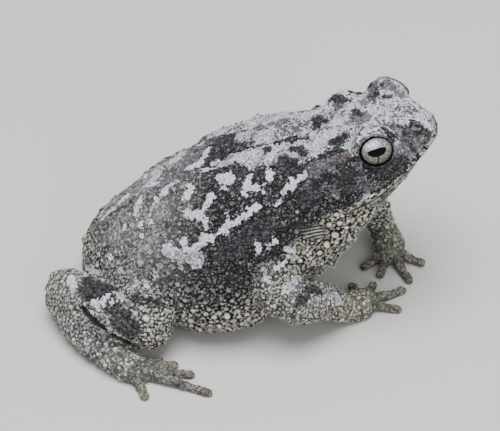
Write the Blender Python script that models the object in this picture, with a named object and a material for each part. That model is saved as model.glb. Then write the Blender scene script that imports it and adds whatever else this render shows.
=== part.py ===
"""A big-eared toad, life size, sitting up on its forelegs with its hind legs folded.

The toad faces +X, its left side is +Y and the floor is z = 0. Shapes are made in millimetres, and the
last step turns them into metres. Each named part of the body is one closed solid, and neighbouring parts
keep a thin gap of air between them. Limbs are described for the right side, and the left side mirrors
them.
"""

import math

import bmesh
import bpy
import numpy as np
from mathutils import Matrix, Vector

METRES_PER_MM = 0.001
GAP = 0.35

# The trunk and head are one loft. Each station is a slanting slice of the body, given by where it meets
# the middle of the back (x, z) and of the belly (x, z), its half width, how square its outline is, and how
# far the hind part of the body bends to the right there.
BODY_STATIONS = (
    (-29.4, 6.4, -29.2, 4.6, 0.8, 2.0, -3.0),
    (-28.6, 8.8, -27.8, 1.6, 5.6, 2.0, -3.0),
    (-26.4, 11.8, -25.0, -0.6, 9.4, 2.0, -2.8),
    (-22.4, 15.2, -20.2, -1.6, 12.4, 2.0, -2.4),
    (-16.2, 19.5, -13.8, -2.0, 15.4, 2.0, -1.9),
    (-9.2, 23.1, -7.2, -2.0, 18.3, 2.1, -1.4),
    (-2.2, 26.2, 0.0, -1.2, 18.5, 2.2, -0.8),
    (4.4, 29.1, 6.0, 3.2, 16.1, 2.35, -0.2),
    (10.2, 31.4, 11.2, 8.2, 13.2, 2.65, 0.0),
    (14.4, 33.2, 15.4, 12.6, 11.6, 2.9, 0.0),
    (17.6, 34.3, 18.6, 17.6, 10.9, 2.9, 0.0),
    (20.8, 35.0, 21.8, 22.0, 9.9, 2.8, 0.0),
    (23.8, 35.1, 24.8, 25.6, 8.0, 2.7, 0.0),
    (26.2, 34.8, 27.0, 28.4, 5.6, 2.5, 0.0),
    (28.0, 34.1, 28.5, 30.2, 3.2, 2.3, 0.0),
    (29.0, 32.8, 29.1, 31.4, 0.8, 2.0, 0.0),
)
NECK_STATION = 9.0
NECK_GAP_IN_STEPS = 0.11
WIDEST_AT = 0.40  # height of the widest line of a slice, from belly to back
BODY_SIDES = 132
TRUNK_SLICES = 84
HEAD_SLICES = 76
TRUNK_TRIANGLES = 3200
HEAD_TRIANGLES = 2400
HAND_TRIANGLES = 640
FOOT_TRIANGLES = 800

EYE_CENTRE = (20.7, -6.2, 33.1)
EYE_LOOKS = (0.24, -0.90, 0.34)
EYEBALL_RADIUS = 3.0
LID_THICKNESS = 0.6
EYE_OPENING = (2.6, 2.25)  # half length and half height between the lids
NOSTRIL = (26.5, -2.3, 34.8)
NOSTRIL_RADIUS = 0.4
EARDRUM = (17.3, -10.2, 29.8)
EARDRUM_RADIUS = 2.2
MOUTH_LINE = ((32.0, 31.9), (28.9, 31.3), (25.7, 29.3), (22.5, 27.0), (19.4, 25.2), (16.9, 24.2))
MOUTH_SLIT = 0.36
LIP_DEPTH = 0.9
CORE_TRIANGLES = 1400

# Raised and sunken forms of the skin, on the right side: a path, then its radius and height.
PAROTOID_GLAND = (((13.6, -8.2, 31.6), (11.6, -9.4, 30.6)), 2.9, 1.1)
HIP_BONE = (((-12.0, -5.0, 22.0), (-19.0, -3.4, 17.6)), 3.0, 0.7)
BACK_GROOVE = (((10.0, 0.0, 31.0), (-6.0, 0.0, 25.0)), 1.8, -0.35)
RIDGE_OVER_EARDRUM = (((18.6, -8.6, 32.9), (16.4, -8.8, 32.6), (14.8, -9.2, 31.9)), 1.1, 0.45)
SNOUT_EDGE = (((23.6, -5.6, 34.2), (26.0, -3.4, 34.9)), 1.5, 0.45)
NOSTRIL_SWELLING = ((NOSTRIL, (26.6, -2.3, 34.8)), 1.3, 0.4)
LORE_HOLLOW = (((24.6, -7.2, 31.4), (23.4, -8.4, 30.4)), 2.2, -0.35)
MOUTH_CORNER = (((16.6, -11.0, 24.6), (15.6, -11.2, 26.2)), 1.3, 0.5)
HEAD_FORMS = (RIDGE_OVER_EARDRUM, SNOUT_EDGE, NOSTRIL_SWELLING, LORE_HOLLOW, MOUTH_CORNER)
EARDRUM_RIM_HEIGHT = 0.30
EARDRUM_DEPTH = 0.25

# Warts: the smallest and largest radius, how far apart they keep, how many there are, and the seed.
TRUNK_WARTS = ((1.0, 1.7), 2.7, 170, 11)
UPPER_ARM_WARTS = ((0.7, 1.2), 2.0, 24, 21)
FOREARM_WARTS = ((0.7, 1.1), 1.9, 24, 22)
THIGH_WARTS = ((0.9, 1.4), 2.3, 40, 31)
SHANK_WARTS = ((0.8, 1.4), 2.2, 60, 32)
TARSUS_WARTS = ((0.7, 1.1), 2.0, 40, 33)
WART_HEIGHT = 0.55  # of its radius

UPPER_ARM = ((2.4, -8.0, 16.0), (4.4, -13.4, 13.4), (6.6, -16.2, 10.2))
UPPER_ARM_RADII = (5.0, 4.7, 3.5)
FOREARM = ((7.6, -15.9, 9.0), (9.4, -14.8, 8.0), (12.0, -12.2, 6.1), (14.6, -9.9, 3.2))
FOREARM_RADII = (3.3, 3.3, 2.9, 2.0)
PALM = ((14.6, -10.2, 2.5), (16.4, -7.9, 1.6), (17.2, -6.7, 1.4))
PALM_RADII = (1.9, 2.6, 2.3)
FINGER_ROOT = (17.0, -6.9, 1.2)
FINGERS = ((116.0, 5.2), (80.0, 5.4), (38.0, 7.4), (0.0, 5.8))  # heading in degrees, reach
FINGER_RADII = (1.15, 0.95, 0.85, 0.95)

THIGH = ((-22.2, -6.0, 6.8), (-18.6, -12.4, 7.4), (-15.6, -17.6, 7.2), (-14.4, -19.4, 6.8))
THIGH_RADII = (5.2, 5.0, 4.4, 3.8)
SHANK = ((-14.8, -20.4, 6.0), (-20.0, -19.4, 6.2), (-25.8, -16.2, 6.2), (-30.0, -13.0, 5.6))
SHANK_RADII = (4.0, 4.6, 4.0, 3.2)
TARSUS = ((-30.6, -13.6, 3.6), (-27.4, -18.0, 3.2), (-23.6, -22.0, 2.7), (-20.4, -24.2, 2.3))
TARSUS_RADII = (3.0, 2.7, 2.4, 2.2)
SOLE = ((-20.8, -24.0, 2.2), (-17.6, -25.6, 1.6), (-15.6, -26.3, 1.3))
SOLE_RADII = (2.2, 2.5, 2.3)
TOE_ROOT = (-16.8, -25.6, 1.2)
TOES = ((34.0, 4.8), (18.0, 6.8), (1.0, 9.6), (-15.0, 13.6), (-58.0, 6.4))  # heading in degrees, reach
TOE_RADII = (1.25, 1.0, 0.85, 0.9)
WEB_REACH = 0.5
WEB_THICKNESS = 0.8

# How the left limbs differ from the right ones: a shift, and a turn in degrees about a point.
LEFT_FORELEG = ((3.6, -0.4, 0.0),)
LEFT_HAND = ((3.6, 0.1, 0.0), -18.0, PALM[0])
LEFT_HIND_LEG = ((4.5, -1.5, 0.0), 16.0, THIGH[-1])


def spline(rows, steps):
    """Points read at the given steps along a smooth curve through the rows, one step from row to row."""
    rows = np.array(rows, float)
    padded = np.vstack([2 * rows[0] - rows[1], rows, 2 * rows[-1] - rows[-2]])
    steps = np.clip(np.atleast_1d(np.array(steps, float)), 0, len(rows) - 1 - 1e-9)
    start = steps.astype(int)
    t = (steps - start)[:, None]
    before, here, after, beyond = (padded[start + k] for k in range(4))
    return 0.5 * (
        2 * here
        + (after - before) * t
        + (2 * before - 5 * here + 4 * after - beyond) * t**2
        + (3 * here - before - 3 * after + beyond) * t**3
    )


def new_object(name, bm):
    """An object that holds this bmesh, with its faces pointing out."""
    bmesh.ops.recalc_face_normals(bm, faces=bm.faces)
    mesh = bpy.data.meshes.new(name)
    bm.to_mesh(mesh)
    bm.free()
    obj = bpy.data.objects.new(name, mesh)
    bpy.context.scene.collection.objects.link(obj)
    return obj


def skin_rings(name, rings):
    """A closed tube through rings of points, with a flat face over each end."""
    bm = bmesh.new()
    loops = [[bm.verts.new(point) for point in ring] for ring in rings]
    for lower, upper in zip(loops, loops[1:]):
        for side in range(len(lower)):
            following = (side + 1) % len(lower)
            bm.faces.new((lower[side], lower[following], upper[following], upper[side]))
    bm.faces.new(loops[0])
    bm.faces.new(list(reversed(loops[-1])))
    return new_object(name, bm)


def limb(name, path, radii, sides=28, spacing=0.55, cap=(80, 62, 42, 21)):
    """A limb along a smooth path, round at both ends, with one radius for each point of the path."""
    path = np.array(path, float)
    rows = np.column_stack([path, radii])
    length = np.linalg.norm(np.diff(path, axis=0), axis=1).sum()
    dense = spline(rows, np.linspace(0, len(rows) - 1, max(8, int(length / spacing))))
    centres, widths = dense[:, :3], dense[:, 3]
    along = np.gradient(centres, axis=0)
    along /= np.linalg.norm(along, axis=1)[:, None]
    across = np.cross(along, (0, 0, 1))
    across /= np.linalg.norm(across, axis=1)[:, None]
    upward = np.cross(across, along)
    turns = np.linspace(0, 2 * math.pi, sides, endpoint=False)

    def ring(index, lean=0.0):
        reach = widths[index] * math.cos(lean)
        centre = centres[index] + along[index] * widths[index] * math.sin(lean)
        return (
            centre + reach * (np.outer(np.cos(turns), across[index]) + np.outer(np.sin(turns), upward[index]))
        )

    cap = np.radians(cap)
    rings = [ring(0, -lean) for lean in cap]
    rings += [ring(index) for index in range(len(centres))]
    rings += [ring(-1, lean) for lean in cap[::-1]]
    return skin_rings(name, rings)


def ball(name, centre, radius, detail):
    bm = bmesh.new()
    bmesh.ops.create_icosphere(bm, subdivisions=detail, radius=radius)
    bmesh.ops.translate(bm, verts=bm.verts, vec=centre)
    return new_object(name, bm)


def points_of(obj):
    points = np.empty(len(obj.data.vertices) * 3)
    obj.data.vertices.foreach_get("co", points)
    return points.reshape(-1, 3)


def normals_of(obj):
    normals = np.empty(len(obj.data.vertices) * 3)
    obj.data.vertex_normals.foreach_get("vector", normals)
    return normals.reshape(-1, 3)


def move_points(obj, points):
    obj.data.vertices.foreach_set("co", np.ascontiguousarray(points, float).ravel())
    obj.data.update()


def apply_modifiers(obj):
    """Replaces the object's mesh with what its modifiers make of it."""
    graph = bpy.context.evaluated_depsgraph_get()
    made = bpy.data.meshes.new_from_object(obj.evaluated_get(graph))
    obj.modifiers.clear()
    old = obj.data
    obj.data = made
    bpy.data.meshes.remove(old)


def remove(*objects):
    for obj in objects:
        bpy.data.objects.remove(obj)


def keep_largest(obj):
    """Deletes all but the object's largest closed surface, following faces from edge to edge."""
    bm = bmesh.new()
    bm.from_mesh(obj.data)
    waiting = set(bm.faces)
    shells = []
    while waiting:
        rim = [waiting.pop()]
        shell = []
        while rim:
            face = rim.pop()
            shell.append(face)
            found = {other for edge in face.edges for other in edge.link_faces} & waiting
            waiting -= found
            rim.extend(found)
        shells.append(shell)
    largest = max(shells, key=len)
    scraps = [face for shell in shells if shell is not largest for face in shell]
    bmesh.ops.delete(bm, geom=scraps, context="FACES")
    bm.to_mesh(obj.data)
    bm.free()


def combine(obj, operation, tools):
    """One Boolean of the object with closed tools, which are then removed."""
    group = bpy.data.collections.new("tools")
    bpy.context.scene.collection.children.link(group)
    for tool in tools:
        group.objects.link(tool)
    boolean = obj.modifiers.new(operation, "BOOLEAN")
    boolean.operation = operation
    boolean.solver = "EXACT"
    boolean.operand_type = "COLLECTION"
    boolean.collection = group
    apply_modifiers(obj)
    remove(*tools)
    bpy.data.collections.remove(group)
    keep_largest(obj)
    return obj


def cut(obj, *cutters):
    """Takes each cutter out of the object in turn."""
    for cutter in cutters:
        combine(obj, "DIFFERENCE", [cutter])
    return obj


def decimate(obj, triangles):
    """Brings the object down to about this many triangles, fewer where it is flat."""
    now = sum(len(face.vertices) - 2 for face in obj.data.polygons)
    if now > triangles:
        collapse = obj.modifiers.new("fewer", "DECIMATE")
        collapse.ratio = triangles / now
        collapse.use_collapse_triangulate = True
        apply_modifiers(obj)
    return obj


def swollen(obj, by=GAP):
    """A copy of the object that reaches a little further out, to cut its neighbours with."""
    copy = bpy.data.objects.new(obj.name + "_swollen", obj.data.copy())
    bpy.context.scene.collection.objects.link(copy)
    move_points(copy, points_of(copy) + normals_of(copy) * by)
    return copy


def on_side(values, side):
    """The right side's point or points, taken to the side that is -1 for right and 1 for left."""
    turned = np.array(values, float)
    turned[..., 1] *= -side
    return turned


def to_left(points, shift=(0.0, 0.0, 0.0), turn=0.0, pivot=(0.0, 0.0, 0.0)):
    """Takes points from the right side to the left, turns them about an upright line through the pivot,
    which is given on the right side, and shifts them."""
    pivot = on_side(pivot, 1)
    turning = np.array(Matrix.Rotation(math.radians(turn), 3, "Z"))
    return (on_side(points, 1) - pivot) @ turning.T + pivot + np.array(shift)


def move_to_left(objects, *placing):
    for obj in objects:
        move_points(obj, to_left(points_of(obj), *placing))
        obj.data.flip_normals()


def smooth_step(values):
    values = np.clip(values, 0, 1)
    return values * values * (3 - 2 * values)


def distance_to_path(points, path):
    """The distance from each point to a line through the path's points."""
    nearest = np.full(len(points), np.inf)
    path = np.array(path, float)
    for start, end in zip(path, path[1:]):
        along = end - start
        share = np.clip((points - start) @ along / (along @ along), 0, 1)
        nearest = np.minimum(nearest, np.linalg.norm(points - start - np.outer(share, along), axis=1))
    return nearest


def ridge(points, path, radius, height):
    """How far each point rises for a rounded ridge along a path."""
    return height * smooth_step(1 - distance_to_path(points, path) / radius)


def clear_of(points, path, reach):
    """1 for points away from a path, falling to 0 for those within reach of it."""
    return smooth_step((distance_to_path(points, path) - reach) / 1.5)


def wart_centres(points, weight, spacing, count, rng):
    """Indices of points spread at random where weight is high, no closer together than spacing."""
    order = rng.permutation(len(points))
    chosen = []
    for index in order[rng.random(len(points)) < weight[order]]:
        if len(chosen) == count:
            break
        if not chosen or np.linalg.norm(points[chosen] - points[index], axis=1).min() > spacing:
            chosen.append(index)
    return chosen


def warts(points, weight, radius_range, spacing, count, seed):
    """How far each point rises for round warts scattered over the skin."""
    rng = np.random.default_rng(seed)
    lift = np.zeros(len(points))
    for index in wart_centres(points, weight, spacing, count, rng):
        radius = rng.uniform(*radius_range)
        away = np.linalg.norm(points - points[index], axis=1) / radius
        lift = np.maximum(lift, WART_HEIGHT * radius * smooth_step(1.2 * (1 - away)))
    return lift


def swell_to_ball(points, centre, radius, blend=0.5):
    """Moves points that lie inside a ball out to its surface, with a rounded foot round it."""
    away = points - centre
    distance = np.linalg.norm(away, axis=1)
    push = blend * np.logaddexp(0, (radius - distance) / blend)
    push[distance > radius + 6 * blend] = 0
    return points + away / distance[:, None] * push[:, None]


def body_slice(step):
    """The outline of the trunk or head at a step along its stations."""
    back_x, back_z, belly_x, belly_z, half_width, squareness, bend = spline(BODY_STATIONS, step)[0]
    belly = np.array((belly_x, bend, belly_z))
    rise = np.array((back_x, bend, back_z)) - belly
    turns = np.linspace(0, 2 * math.pi, BODY_SIDES, endpoint=False)
    side = np.sign(np.cos(turns)) * np.abs(np.cos(turns)) ** (2 / squareness)
    height = np.sign(np.sin(turns)) * np.abs(np.sin(turns)) ** (2 / squareness)
    level = WIDEST_AT + np.where(height > 0, (1 - WIDEST_AT) * height, WIDEST_AT * height)
    return belly + np.outer(level, rise) + np.outer(side * half_width, (0, 1, 0))


def build_trunk():
    steps = np.linspace(0, NECK_STATION, TRUNK_SLICES)
    trunk = skin_rings("torso", [body_slice(step) for step in steps])
    points, normals = points_of(trunk), normals_of(trunk)
    lift = ridge(points, *BACK_GROOVE)
    for side in (-1, 1):
        for path, radius, height in (PAROTOID_GLAND, HIP_BONE):
            lift += ridge(points, on_side(path, side), radius, height)
    off_neck = smooth_step((14.2 - points[:, 0] - 0.05 * (points[:, 2] - 12)) / 2.0)
    off_floor = smooth_step((points[:, 2] - 1.0) / 2.0)
    flank = smooth_step((np.abs(points[:, 1]) - 4.0) / 6.0)
    where = (0.2 + 0.8 * flank) * off_neck * off_floor
    limbs = ((THIGH, 6.6, LEFT_HIND_LEG), (SHANK, 6.0, LEFT_HIND_LEG), (UPPER_ARM, 6.2, LEFT_FORELEG))
    for path, reach, placing in limbs:
        where *= clear_of(points, path, reach) * clear_of(points, to_left(path, *placing), reach)
    lift += warts(points, where, *TRUNK_WARTS) * off_neck
    move_points(trunk, points + normals * lift[:, None])
    return decimate(trunk, TRUNK_TRIANGLES)


def build_head():
    steps = np.linspace(NECK_STATION + NECK_GAP_IN_STEPS, len(BODY_STATIONS) - 1, HEAD_SLICES)
    head = skin_rings("head", [body_slice(step) for step in steps])
    points = points_of(head)
    for side in (-1, 1):
        points = swell_to_ball(points, on_side(EYE_CENTRE, side), EYEBALL_RADIUS + LID_THICKNESS)
    move_points(head, points)
    normals = normals_of(head)
    lift = np.zeros(len(points))
    for side in (-1, 1):
        eardrum = np.linalg.norm(points - on_side(EARDRUM, side), axis=1) / EARDRUM_RADIUS
        lift += EARDRUM_RIM_HEIGHT * np.exp(-(((eardrum - 1.05) / 0.16) ** 2))
        lift -= EARDRUM_DEPTH * smooth_step(1.6 * (1 - eardrum))
        for path, radius, height in HEAD_FORMS:
            lift += ridge(points, on_side(path, side), radius, height)
    move_points(head, points + normals * lift[:, None])
    slit = mouth_slit(head)
    decimate(head, HEAD_TRIANGLES)
    combine(head, "DIFFERENCE", [slit])
    for side in (-1, 1):
        cutters = [eye_opening(side)]
        cutters.append(ball("socket", on_side(EYE_CENTRE, side), EYEBALL_RADIUS + GAP, detail=2))
        nostril = on_side(NOSTRIL, side)
        inward = on_side((-0.5, 0.8, -0.8), side)
        cutters.append(limb("nostril_hole", (nostril - inward, nostril + inward), (NOSTRIL_RADIUS,) * 2, 10))
        combine(head, "DIFFERENCE", cutters)
    return head


def eye_direction(side):
    return Vector(on_side(EYE_LOOKS, side)).normalized()


def eye_opening(side):
    """The cutter between the lids: a flared oval tube along the way that the eye looks."""
    centre, outward = Vector(on_side(EYE_CENTRE, side)), eye_direction(side)
    snout_way = Vector((1, 0, 0.34))
    forward = (snout_way - outward * outward.dot(snout_way)).normalized()
    upward = outward.cross(forward)
    turns = np.linspace(0, 2 * math.pi, 24, endpoint=False)
    rings = []
    for distance, flare in ((0.5, 0.92), (2.0, 0.96), (3.0, 1.0), (5.5, 1.5)):
        rings.append(
            [
                centre
                + outward * distance
                + forward * (EYE_OPENING[0] * flare * math.cos(turn))
                + upward * (EYE_OPENING[1] * flare * math.sin(turn))
                for turn in turns
            ]
        )
    return skin_rings("eye_opening", rings)


def mouth_slit(head):
    """The cutter for the line of the mouth: a thin sheet across the head, without its middle."""
    line = spline(MOUTH_LINE, np.linspace(0, len(MOUTH_LINE) - 1, 16))
    half = MOUTH_SLIT / 2
    rings = []
    for y in (-20.0, 20.0):
        rings.append([(x, y, z + half) for x, z in line] + [(x, y, z - half) for x, z in line[::-1]])
    sheet = skin_rings("mouth_slit", rings)
    core = swollen(head, -LIP_DEPTH)
    return cut(sheet, decimate(core, CORE_TRIANGLES))


def build_eye(side):
    """The eyeball, with the clear front of the eye standing a little proud."""
    centre = on_side(EYE_CENTRE, side)
    eye = ball("eye", centre, EYEBALL_RADIUS, detail=3)
    points = points_of(eye)
    away = (points - centre) / EYEBALL_RADIUS
    front = smooth_step((away @ np.array(eye_direction(side)) - 0.72) / 0.28)
    move_points(eye, points + away * (0.22 * front)[:, None])
    return eye


def trim_below_floor(obj):
    bm = bmesh.new()
    bmesh.ops.create_cube(bm, size=200.0)
    bmesh.ops.translate(bm, verts=bm.verts, vec=(0, 0, -100.0))
    return cut(obj, new_object("below_floor", bm))


def warty_limb(name, path, radii, its_warts, triangles, neighbour, reach):
    """A limb of this many triangles, with warts except within reach of the neighbour it lies against."""
    obj = limb(name, path, radii)
    points = points_of(obj)
    weight = smooth_step((points[:, 2] - 0.6) / 1.5) * clear_of(points, neighbour, reach)
    lift = warts(points, weight, *its_warts)
    move_points(obj, points + normals_of(obj) * lift[:, None])
    return decimate(obj, triangles)


def digits(root, headings, radii, knuckle_lift):
    """Fingers or toes lying on the floor, thicker at their tips and joints."""
    made = []
    for heading, reach in headings:
        way = np.array((math.cos(math.radians(heading)), math.sin(math.radians(heading)), 0))
        path = []
        for share, height in ((0.0, root[2]), (0.42, 0.8 + knuckle_lift), (0.74, 0.8), (1.0, 0.75)):
            path.append(np.array((root[0], root[1], height)) + way * share * reach)
        made.append(limb("digit", path, radii, sides=9, spacing=1.3, cap=(70, 35)))
    return made


def web(root, headings):
    """The skin between the toes: a thin fan, deepest beside each toe."""
    rim = []
    for (heading, reach), (next_heading, next_reach) in zip(headings, headings[1:]):
        for share in (0.0, 0.25, 0.5, 0.75):
            turn = math.radians(heading + (next_heading - heading) * share)
            full = reach + (next_reach - reach) * share
            sag = 1 - 0.45 * math.sin(math.pi * share)
            rim.append((root[0] + math.cos(turn) * full * WEB_REACH * sag,
                        root[1] + math.sin(turn) * full * WEB_REACH * sag))
    rim.append((root[0] - 1.0, root[1]))
    low, high = 0.1, 0.1 + WEB_THICKNESS
    return skin_rings("web", [[(x, y, z) for x, y in rim] for z in (low, high)])


def build_hand():
    palm = limb("hand", PALM, PALM_RADII, sides=16, spacing=1.2, cap=(75, 50, 25))
    fuse_parts = digits(FINGER_ROOT, FINGERS, FINGER_RADII, 0.4)
    return trim_below_floor(decimate(combine(palm, "UNION", fuse_parts), HAND_TRIANGLES))


def build_foot():
    sole = limb("foot", SOLE, SOLE_RADII, sides=16, spacing=1.2, cap=(75, 50, 25))
    fuse_parts = digits(TOE_ROOT, TOES, TOE_RADII, 0.3)
    fuse_parts.append(web(TOE_ROOT, TOES))
    return trim_below_floor(decimate(combine(sole, "UNION", fuse_parts), FOOT_TRIANGLES))


def build_foreleg(around_trunk, side):
    upper_arm = warty_limb("upper_arm", UPPER_ARM, UPPER_ARM_RADII, UPPER_ARM_WARTS, 420, FOREARM, 4.4)
    forearm = warty_limb("forearm", FOREARM, FOREARM_RADII, FOREARM_WARTS, 420, UPPER_ARM[:2], 5.6)
    hand = build_hand()
    parts = [upper_arm, forearm, hand]
    if side > 0:
        move_to_left([upper_arm, forearm], *LEFT_FORELEG)
        move_to_left([hand], *LEFT_HAND)
    round_upper_arm, round_forearm = swollen(upper_arm), swollen(forearm)
    cut(upper_arm, swollen(around_trunk, 0))
    cut(forearm, round_upper_arm, swollen(around_trunk, 0))
    cut(hand, round_forearm)
    return parts


def build_hind_leg(around_trunk, side):
    thigh = warty_limb("thigh", THIGH, THIGH_RADII, THIGH_WARTS, 520, SHANK, 5.4)
    shank = warty_limb("shank", SHANK, SHANK_RADII, SHANK_WARTS, 640, THIGH, 5.8)
    tarsus = warty_limb("tarsus", TARSUS, TARSUS_RADII, TARSUS_WARTS, 400, SHANK, 5.0)
    foot = build_foot()
    parts = [thigh, shank, tarsus, foot]
    if side > 0:
        move_to_left(parts, *LEFT_HIND_LEG)
    round_thigh, round_shank, round_tarsus = swollen(thigh), swollen(shank), swollen(tarsus)
    cut(thigh, swollen(around_trunk, 0))
    cut(shank, round_thigh, swollen(around_trunk, 0))
    cut(tarsus, swollen(round_shank, 0), swollen(around_trunk, 0))
    cut(foot, round_tarsus, round_shank)
    for part in parts[:3]:
        trim_below_floor(part)
    return parts


def material(name, colour, roughness):
    made = bpy.data.materials.new(name)
    made.use_nodes = True
    shader = made.node_tree.nodes["Principled BSDF"]
    shader.inputs["Base Color"].default_value = (*colour, 1.0)
    shader.inputs["Roughness"].default_value = roughness
    return made


def finish(obj, name, colour, roughness, smooth):
    obj.name = name
    obj.data.name = name
    obj.data.materials.clear()
    obj.data.materials.append(material(name + "_look", colour, roughness))
    for face in obj.data.polygons:
        face.use_smooth = smooth


def to_metres(objects):
    """Scales from millimetres, with the middle of the box round all of them over the origin."""
    cloud = np.vstack([points_of(obj) for obj in objects])
    low, high = cloud.min(axis=0), cloud.max(axis=0)
    origin = np.array(((low[0] + high[0]) / 2, (low[1] + high[1]) / 2, low[2]))
    for obj in objects:
        move_points(obj, (points_of(obj) - origin) * METRES_PER_MM)


def build():
    remove(*list(bpy.data.objects))
    trunk = build_trunk()
    around_trunk = swollen(trunk)
    trim_below_floor(trunk)
    head = build_head()
    made = {"torso": trunk, "head": head}
    for side, word in ((-1, "right"), (1, "left")):
        made["eye_" + word] = build_eye(side)
        for part in build_foreleg(around_trunk, side) + build_hind_leg(around_trunk, side):
            made[part.name.split(".")[0] + "_" + word] = part
    remove(around_trunk)
    for name, obj in made.items():
        skin = (0.13, 0.12, 0.11) if not name.startswith("eye") else (0.55, 0.56, 0.50)
        finish(obj, name, skin, 0.8 if not name.startswith("eye") else 0.1, True)
    to_metres(list(made.values()))


build()
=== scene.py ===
"""The looks of the big-eared toad: one skin over the whole body, glossy eyes and smooth lid edges.

Shapes are made in the toad's own millimetres: it faces +X, its left is +Y, and the floor is z = 0. The last
step takes each piece to the frame's metres. Limbs are described for the right side.
"""

import math

import bmesh
import bpy
import numpy as np
from mathutils import Matrix, Vector, noise
from mathutils.bvhtree import BVHTree
from mathutils.kdtree import KDTree


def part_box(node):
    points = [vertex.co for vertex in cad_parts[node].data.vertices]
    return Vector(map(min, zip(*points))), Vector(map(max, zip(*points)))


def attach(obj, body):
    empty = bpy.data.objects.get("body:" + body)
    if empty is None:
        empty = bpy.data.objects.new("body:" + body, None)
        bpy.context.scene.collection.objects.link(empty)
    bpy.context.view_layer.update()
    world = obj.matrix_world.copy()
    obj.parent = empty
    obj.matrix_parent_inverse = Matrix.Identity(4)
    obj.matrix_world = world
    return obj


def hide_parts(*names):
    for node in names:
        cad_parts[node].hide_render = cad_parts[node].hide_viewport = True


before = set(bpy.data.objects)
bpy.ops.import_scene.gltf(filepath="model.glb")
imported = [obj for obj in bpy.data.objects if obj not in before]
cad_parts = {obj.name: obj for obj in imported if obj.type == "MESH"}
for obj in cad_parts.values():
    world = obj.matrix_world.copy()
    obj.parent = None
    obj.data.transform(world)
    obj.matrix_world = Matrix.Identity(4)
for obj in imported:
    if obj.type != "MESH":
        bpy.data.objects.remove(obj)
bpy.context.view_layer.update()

MM = 0.001
VOXEL = 0.17
RIGHT, LEFT = -1, 1
SIDES = (RIGHT, LEFT)

# The photograph's camera, in the toad's millimetres, and its frame in pixels.
CAMERA_PLACE = np.array((81.311, -310.080, 281.740))
CAMERA_AZIMUTH = -15.0
CAMERA_ELEVATION = 40.0
CAMERA_ROLL = 6.0
PHOTO_WIDTH = 500
PHOTO_HEIGHT = 431
SENSOR_WIDTH = 36.0
LENS = 187.2
LENS_IN_PIXELS = LENS / SENSOR_WIDTH * PHOTO_WIDTH
PIXELS_PER_MM = 6.5
# A point is hidden from the camera where its normal reaches further than this along the camera's way ahead.
HIDDEN_LEAN = -0.12

# The body: each station is where a slice meets the back (x, z) and the belly (x, z), its half width, how
# square it is, and how far the body bends there.
BODY_STATIONS = (
    (-29.4, 6.4, -29.2, 4.6, 0.8, 2.0, -3.0),
    (-28.6, 8.8, -27.8, 1.6, 5.6, 2.0, -3.0),
    (-26.4, 11.8, -25.0, -0.6, 9.4, 2.0, -2.8),
    (-22.4, 15.2, -20.2, -1.6, 12.4, 2.0, -2.4),
    (-16.2, 19.5, -13.8, -2.0, 15.4, 2.0, -1.9),
    (-9.2, 23.1, -7.2, -2.0, 18.3, 2.1, -1.4),
    (-2.2, 26.2, 0.0, -1.2, 18.5, 2.2, -0.8),
    (4.4, 29.1, 6.0, 3.2, 16.1, 2.35, -0.2),
    (10.2, 31.4, 11.2, 8.2, 13.2, 2.65, 0.0),
    (14.4, 33.2, 15.4, 12.6, 11.6, 2.9, 0.0),
    (17.6, 34.3, 18.6, 17.6, 10.9, 2.9, 0.0),
    (20.8, 35.0, 21.8, 22.0, 9.9, 2.8, 0.0),
    (23.8, 35.1, 24.8, 25.6, 8.0, 2.7, 0.0),
    (26.2, 34.8, 27.0, 28.4, 5.6, 2.5, 0.0),
    (28.0, 34.1, 28.5, 30.2, 3.2, 2.3, 0.0),
    (29.0, 32.8, 29.1, 31.4, 0.8, 2.0, 0.0),
)
NECK_STATION = 9.0
WIDEST_AT = 0.40
BODY_SIDES = 132
TRUNK_SLICES = 84
BODY_SLICES = 180

# The right eye: the ball and its cornea, the socket, the opening of the lids, and the smooth edge round it.
EYE_CENTRE = (20.7, -6.2, 33.1)
EYE_LOOKS = (0.24, -0.90, 0.34)
EYE_FORWARD = (1, 0, 0.34)
EYE_RAISED = 0.22
EYEBALL_RADIUS = 3.0
CORNEA_HEIGHT = 0.22
CORNEA_STARTS = 0.72
SOCKET_GAP = 0.12
LID_THICKNESS = 0.6
THIN_LID = 0.34
EYE_OPENING = (2.8, 2.5)
# Rings of the cut that opens the lids: how far out from the eye's centre, and the opening's share there.
LID_CUT = ((0.5, 0.92), (2.0, 0.96), (3.0, 1.0), (5.5, 1.5))
LID_CUT_SIDES = 72
THIN_LEVEL = 1.9
RIM_LEVEL = 2.1
CLOSED_TURN = np.linspace(0, 2 * math.pi, 40)
LID_EDGE_RADIUS = 0.15
LID_EDGE_OUT = 0.36
LID_EDGE_STEPS = (96, 16)
# The iris, the pupil and the dark line below it: half length and half height, and places across the eye.
IRIS = (2.3, 2.06)
# The iris sits forward and low, so the black round it is wider at the back, and wider at the top as painted
# shade of the upper lid.
IRIS_SHIFT = (0.10, -0.08)
PUPIL = (1.48, 0.86)
PUPIL_TILT = -3.5
PUPIL_SHIFT = (0.14, 0.20)
LINE_MIDDLE = (0.12, -0.6)
LINE_SLANT = 0.31
LINE_HALF_WIDTH = 0.16
LINE_TOP = -0.3

NOSTRIL = (26.5, -2.3, 34.8)
NOSTRIL_RADIUS = 0.4
NOSTRIL_DEPTH = 0.75
EARDRUM = (17.3, -10.2, 29.8)
EARDRUM_RADIUS = 2.2
EARDRUM_RIM = 0.10
EARDRUM_DEPTH = 0.20
MOUTH_LINE = ((32.0, 31.9), (28.9, 31.3), (25.7, 29.3), (22.5, 27.0), (19.4, 25.2), (16.9, 24.2))
MOUTH_CORNER = (16.6, 21.0)
MOUTH_DEPTH = 0.30
UPPER_LIP_HEIGHT = 0.24
LOWER_JAW_DEPTH = 0.42

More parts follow.
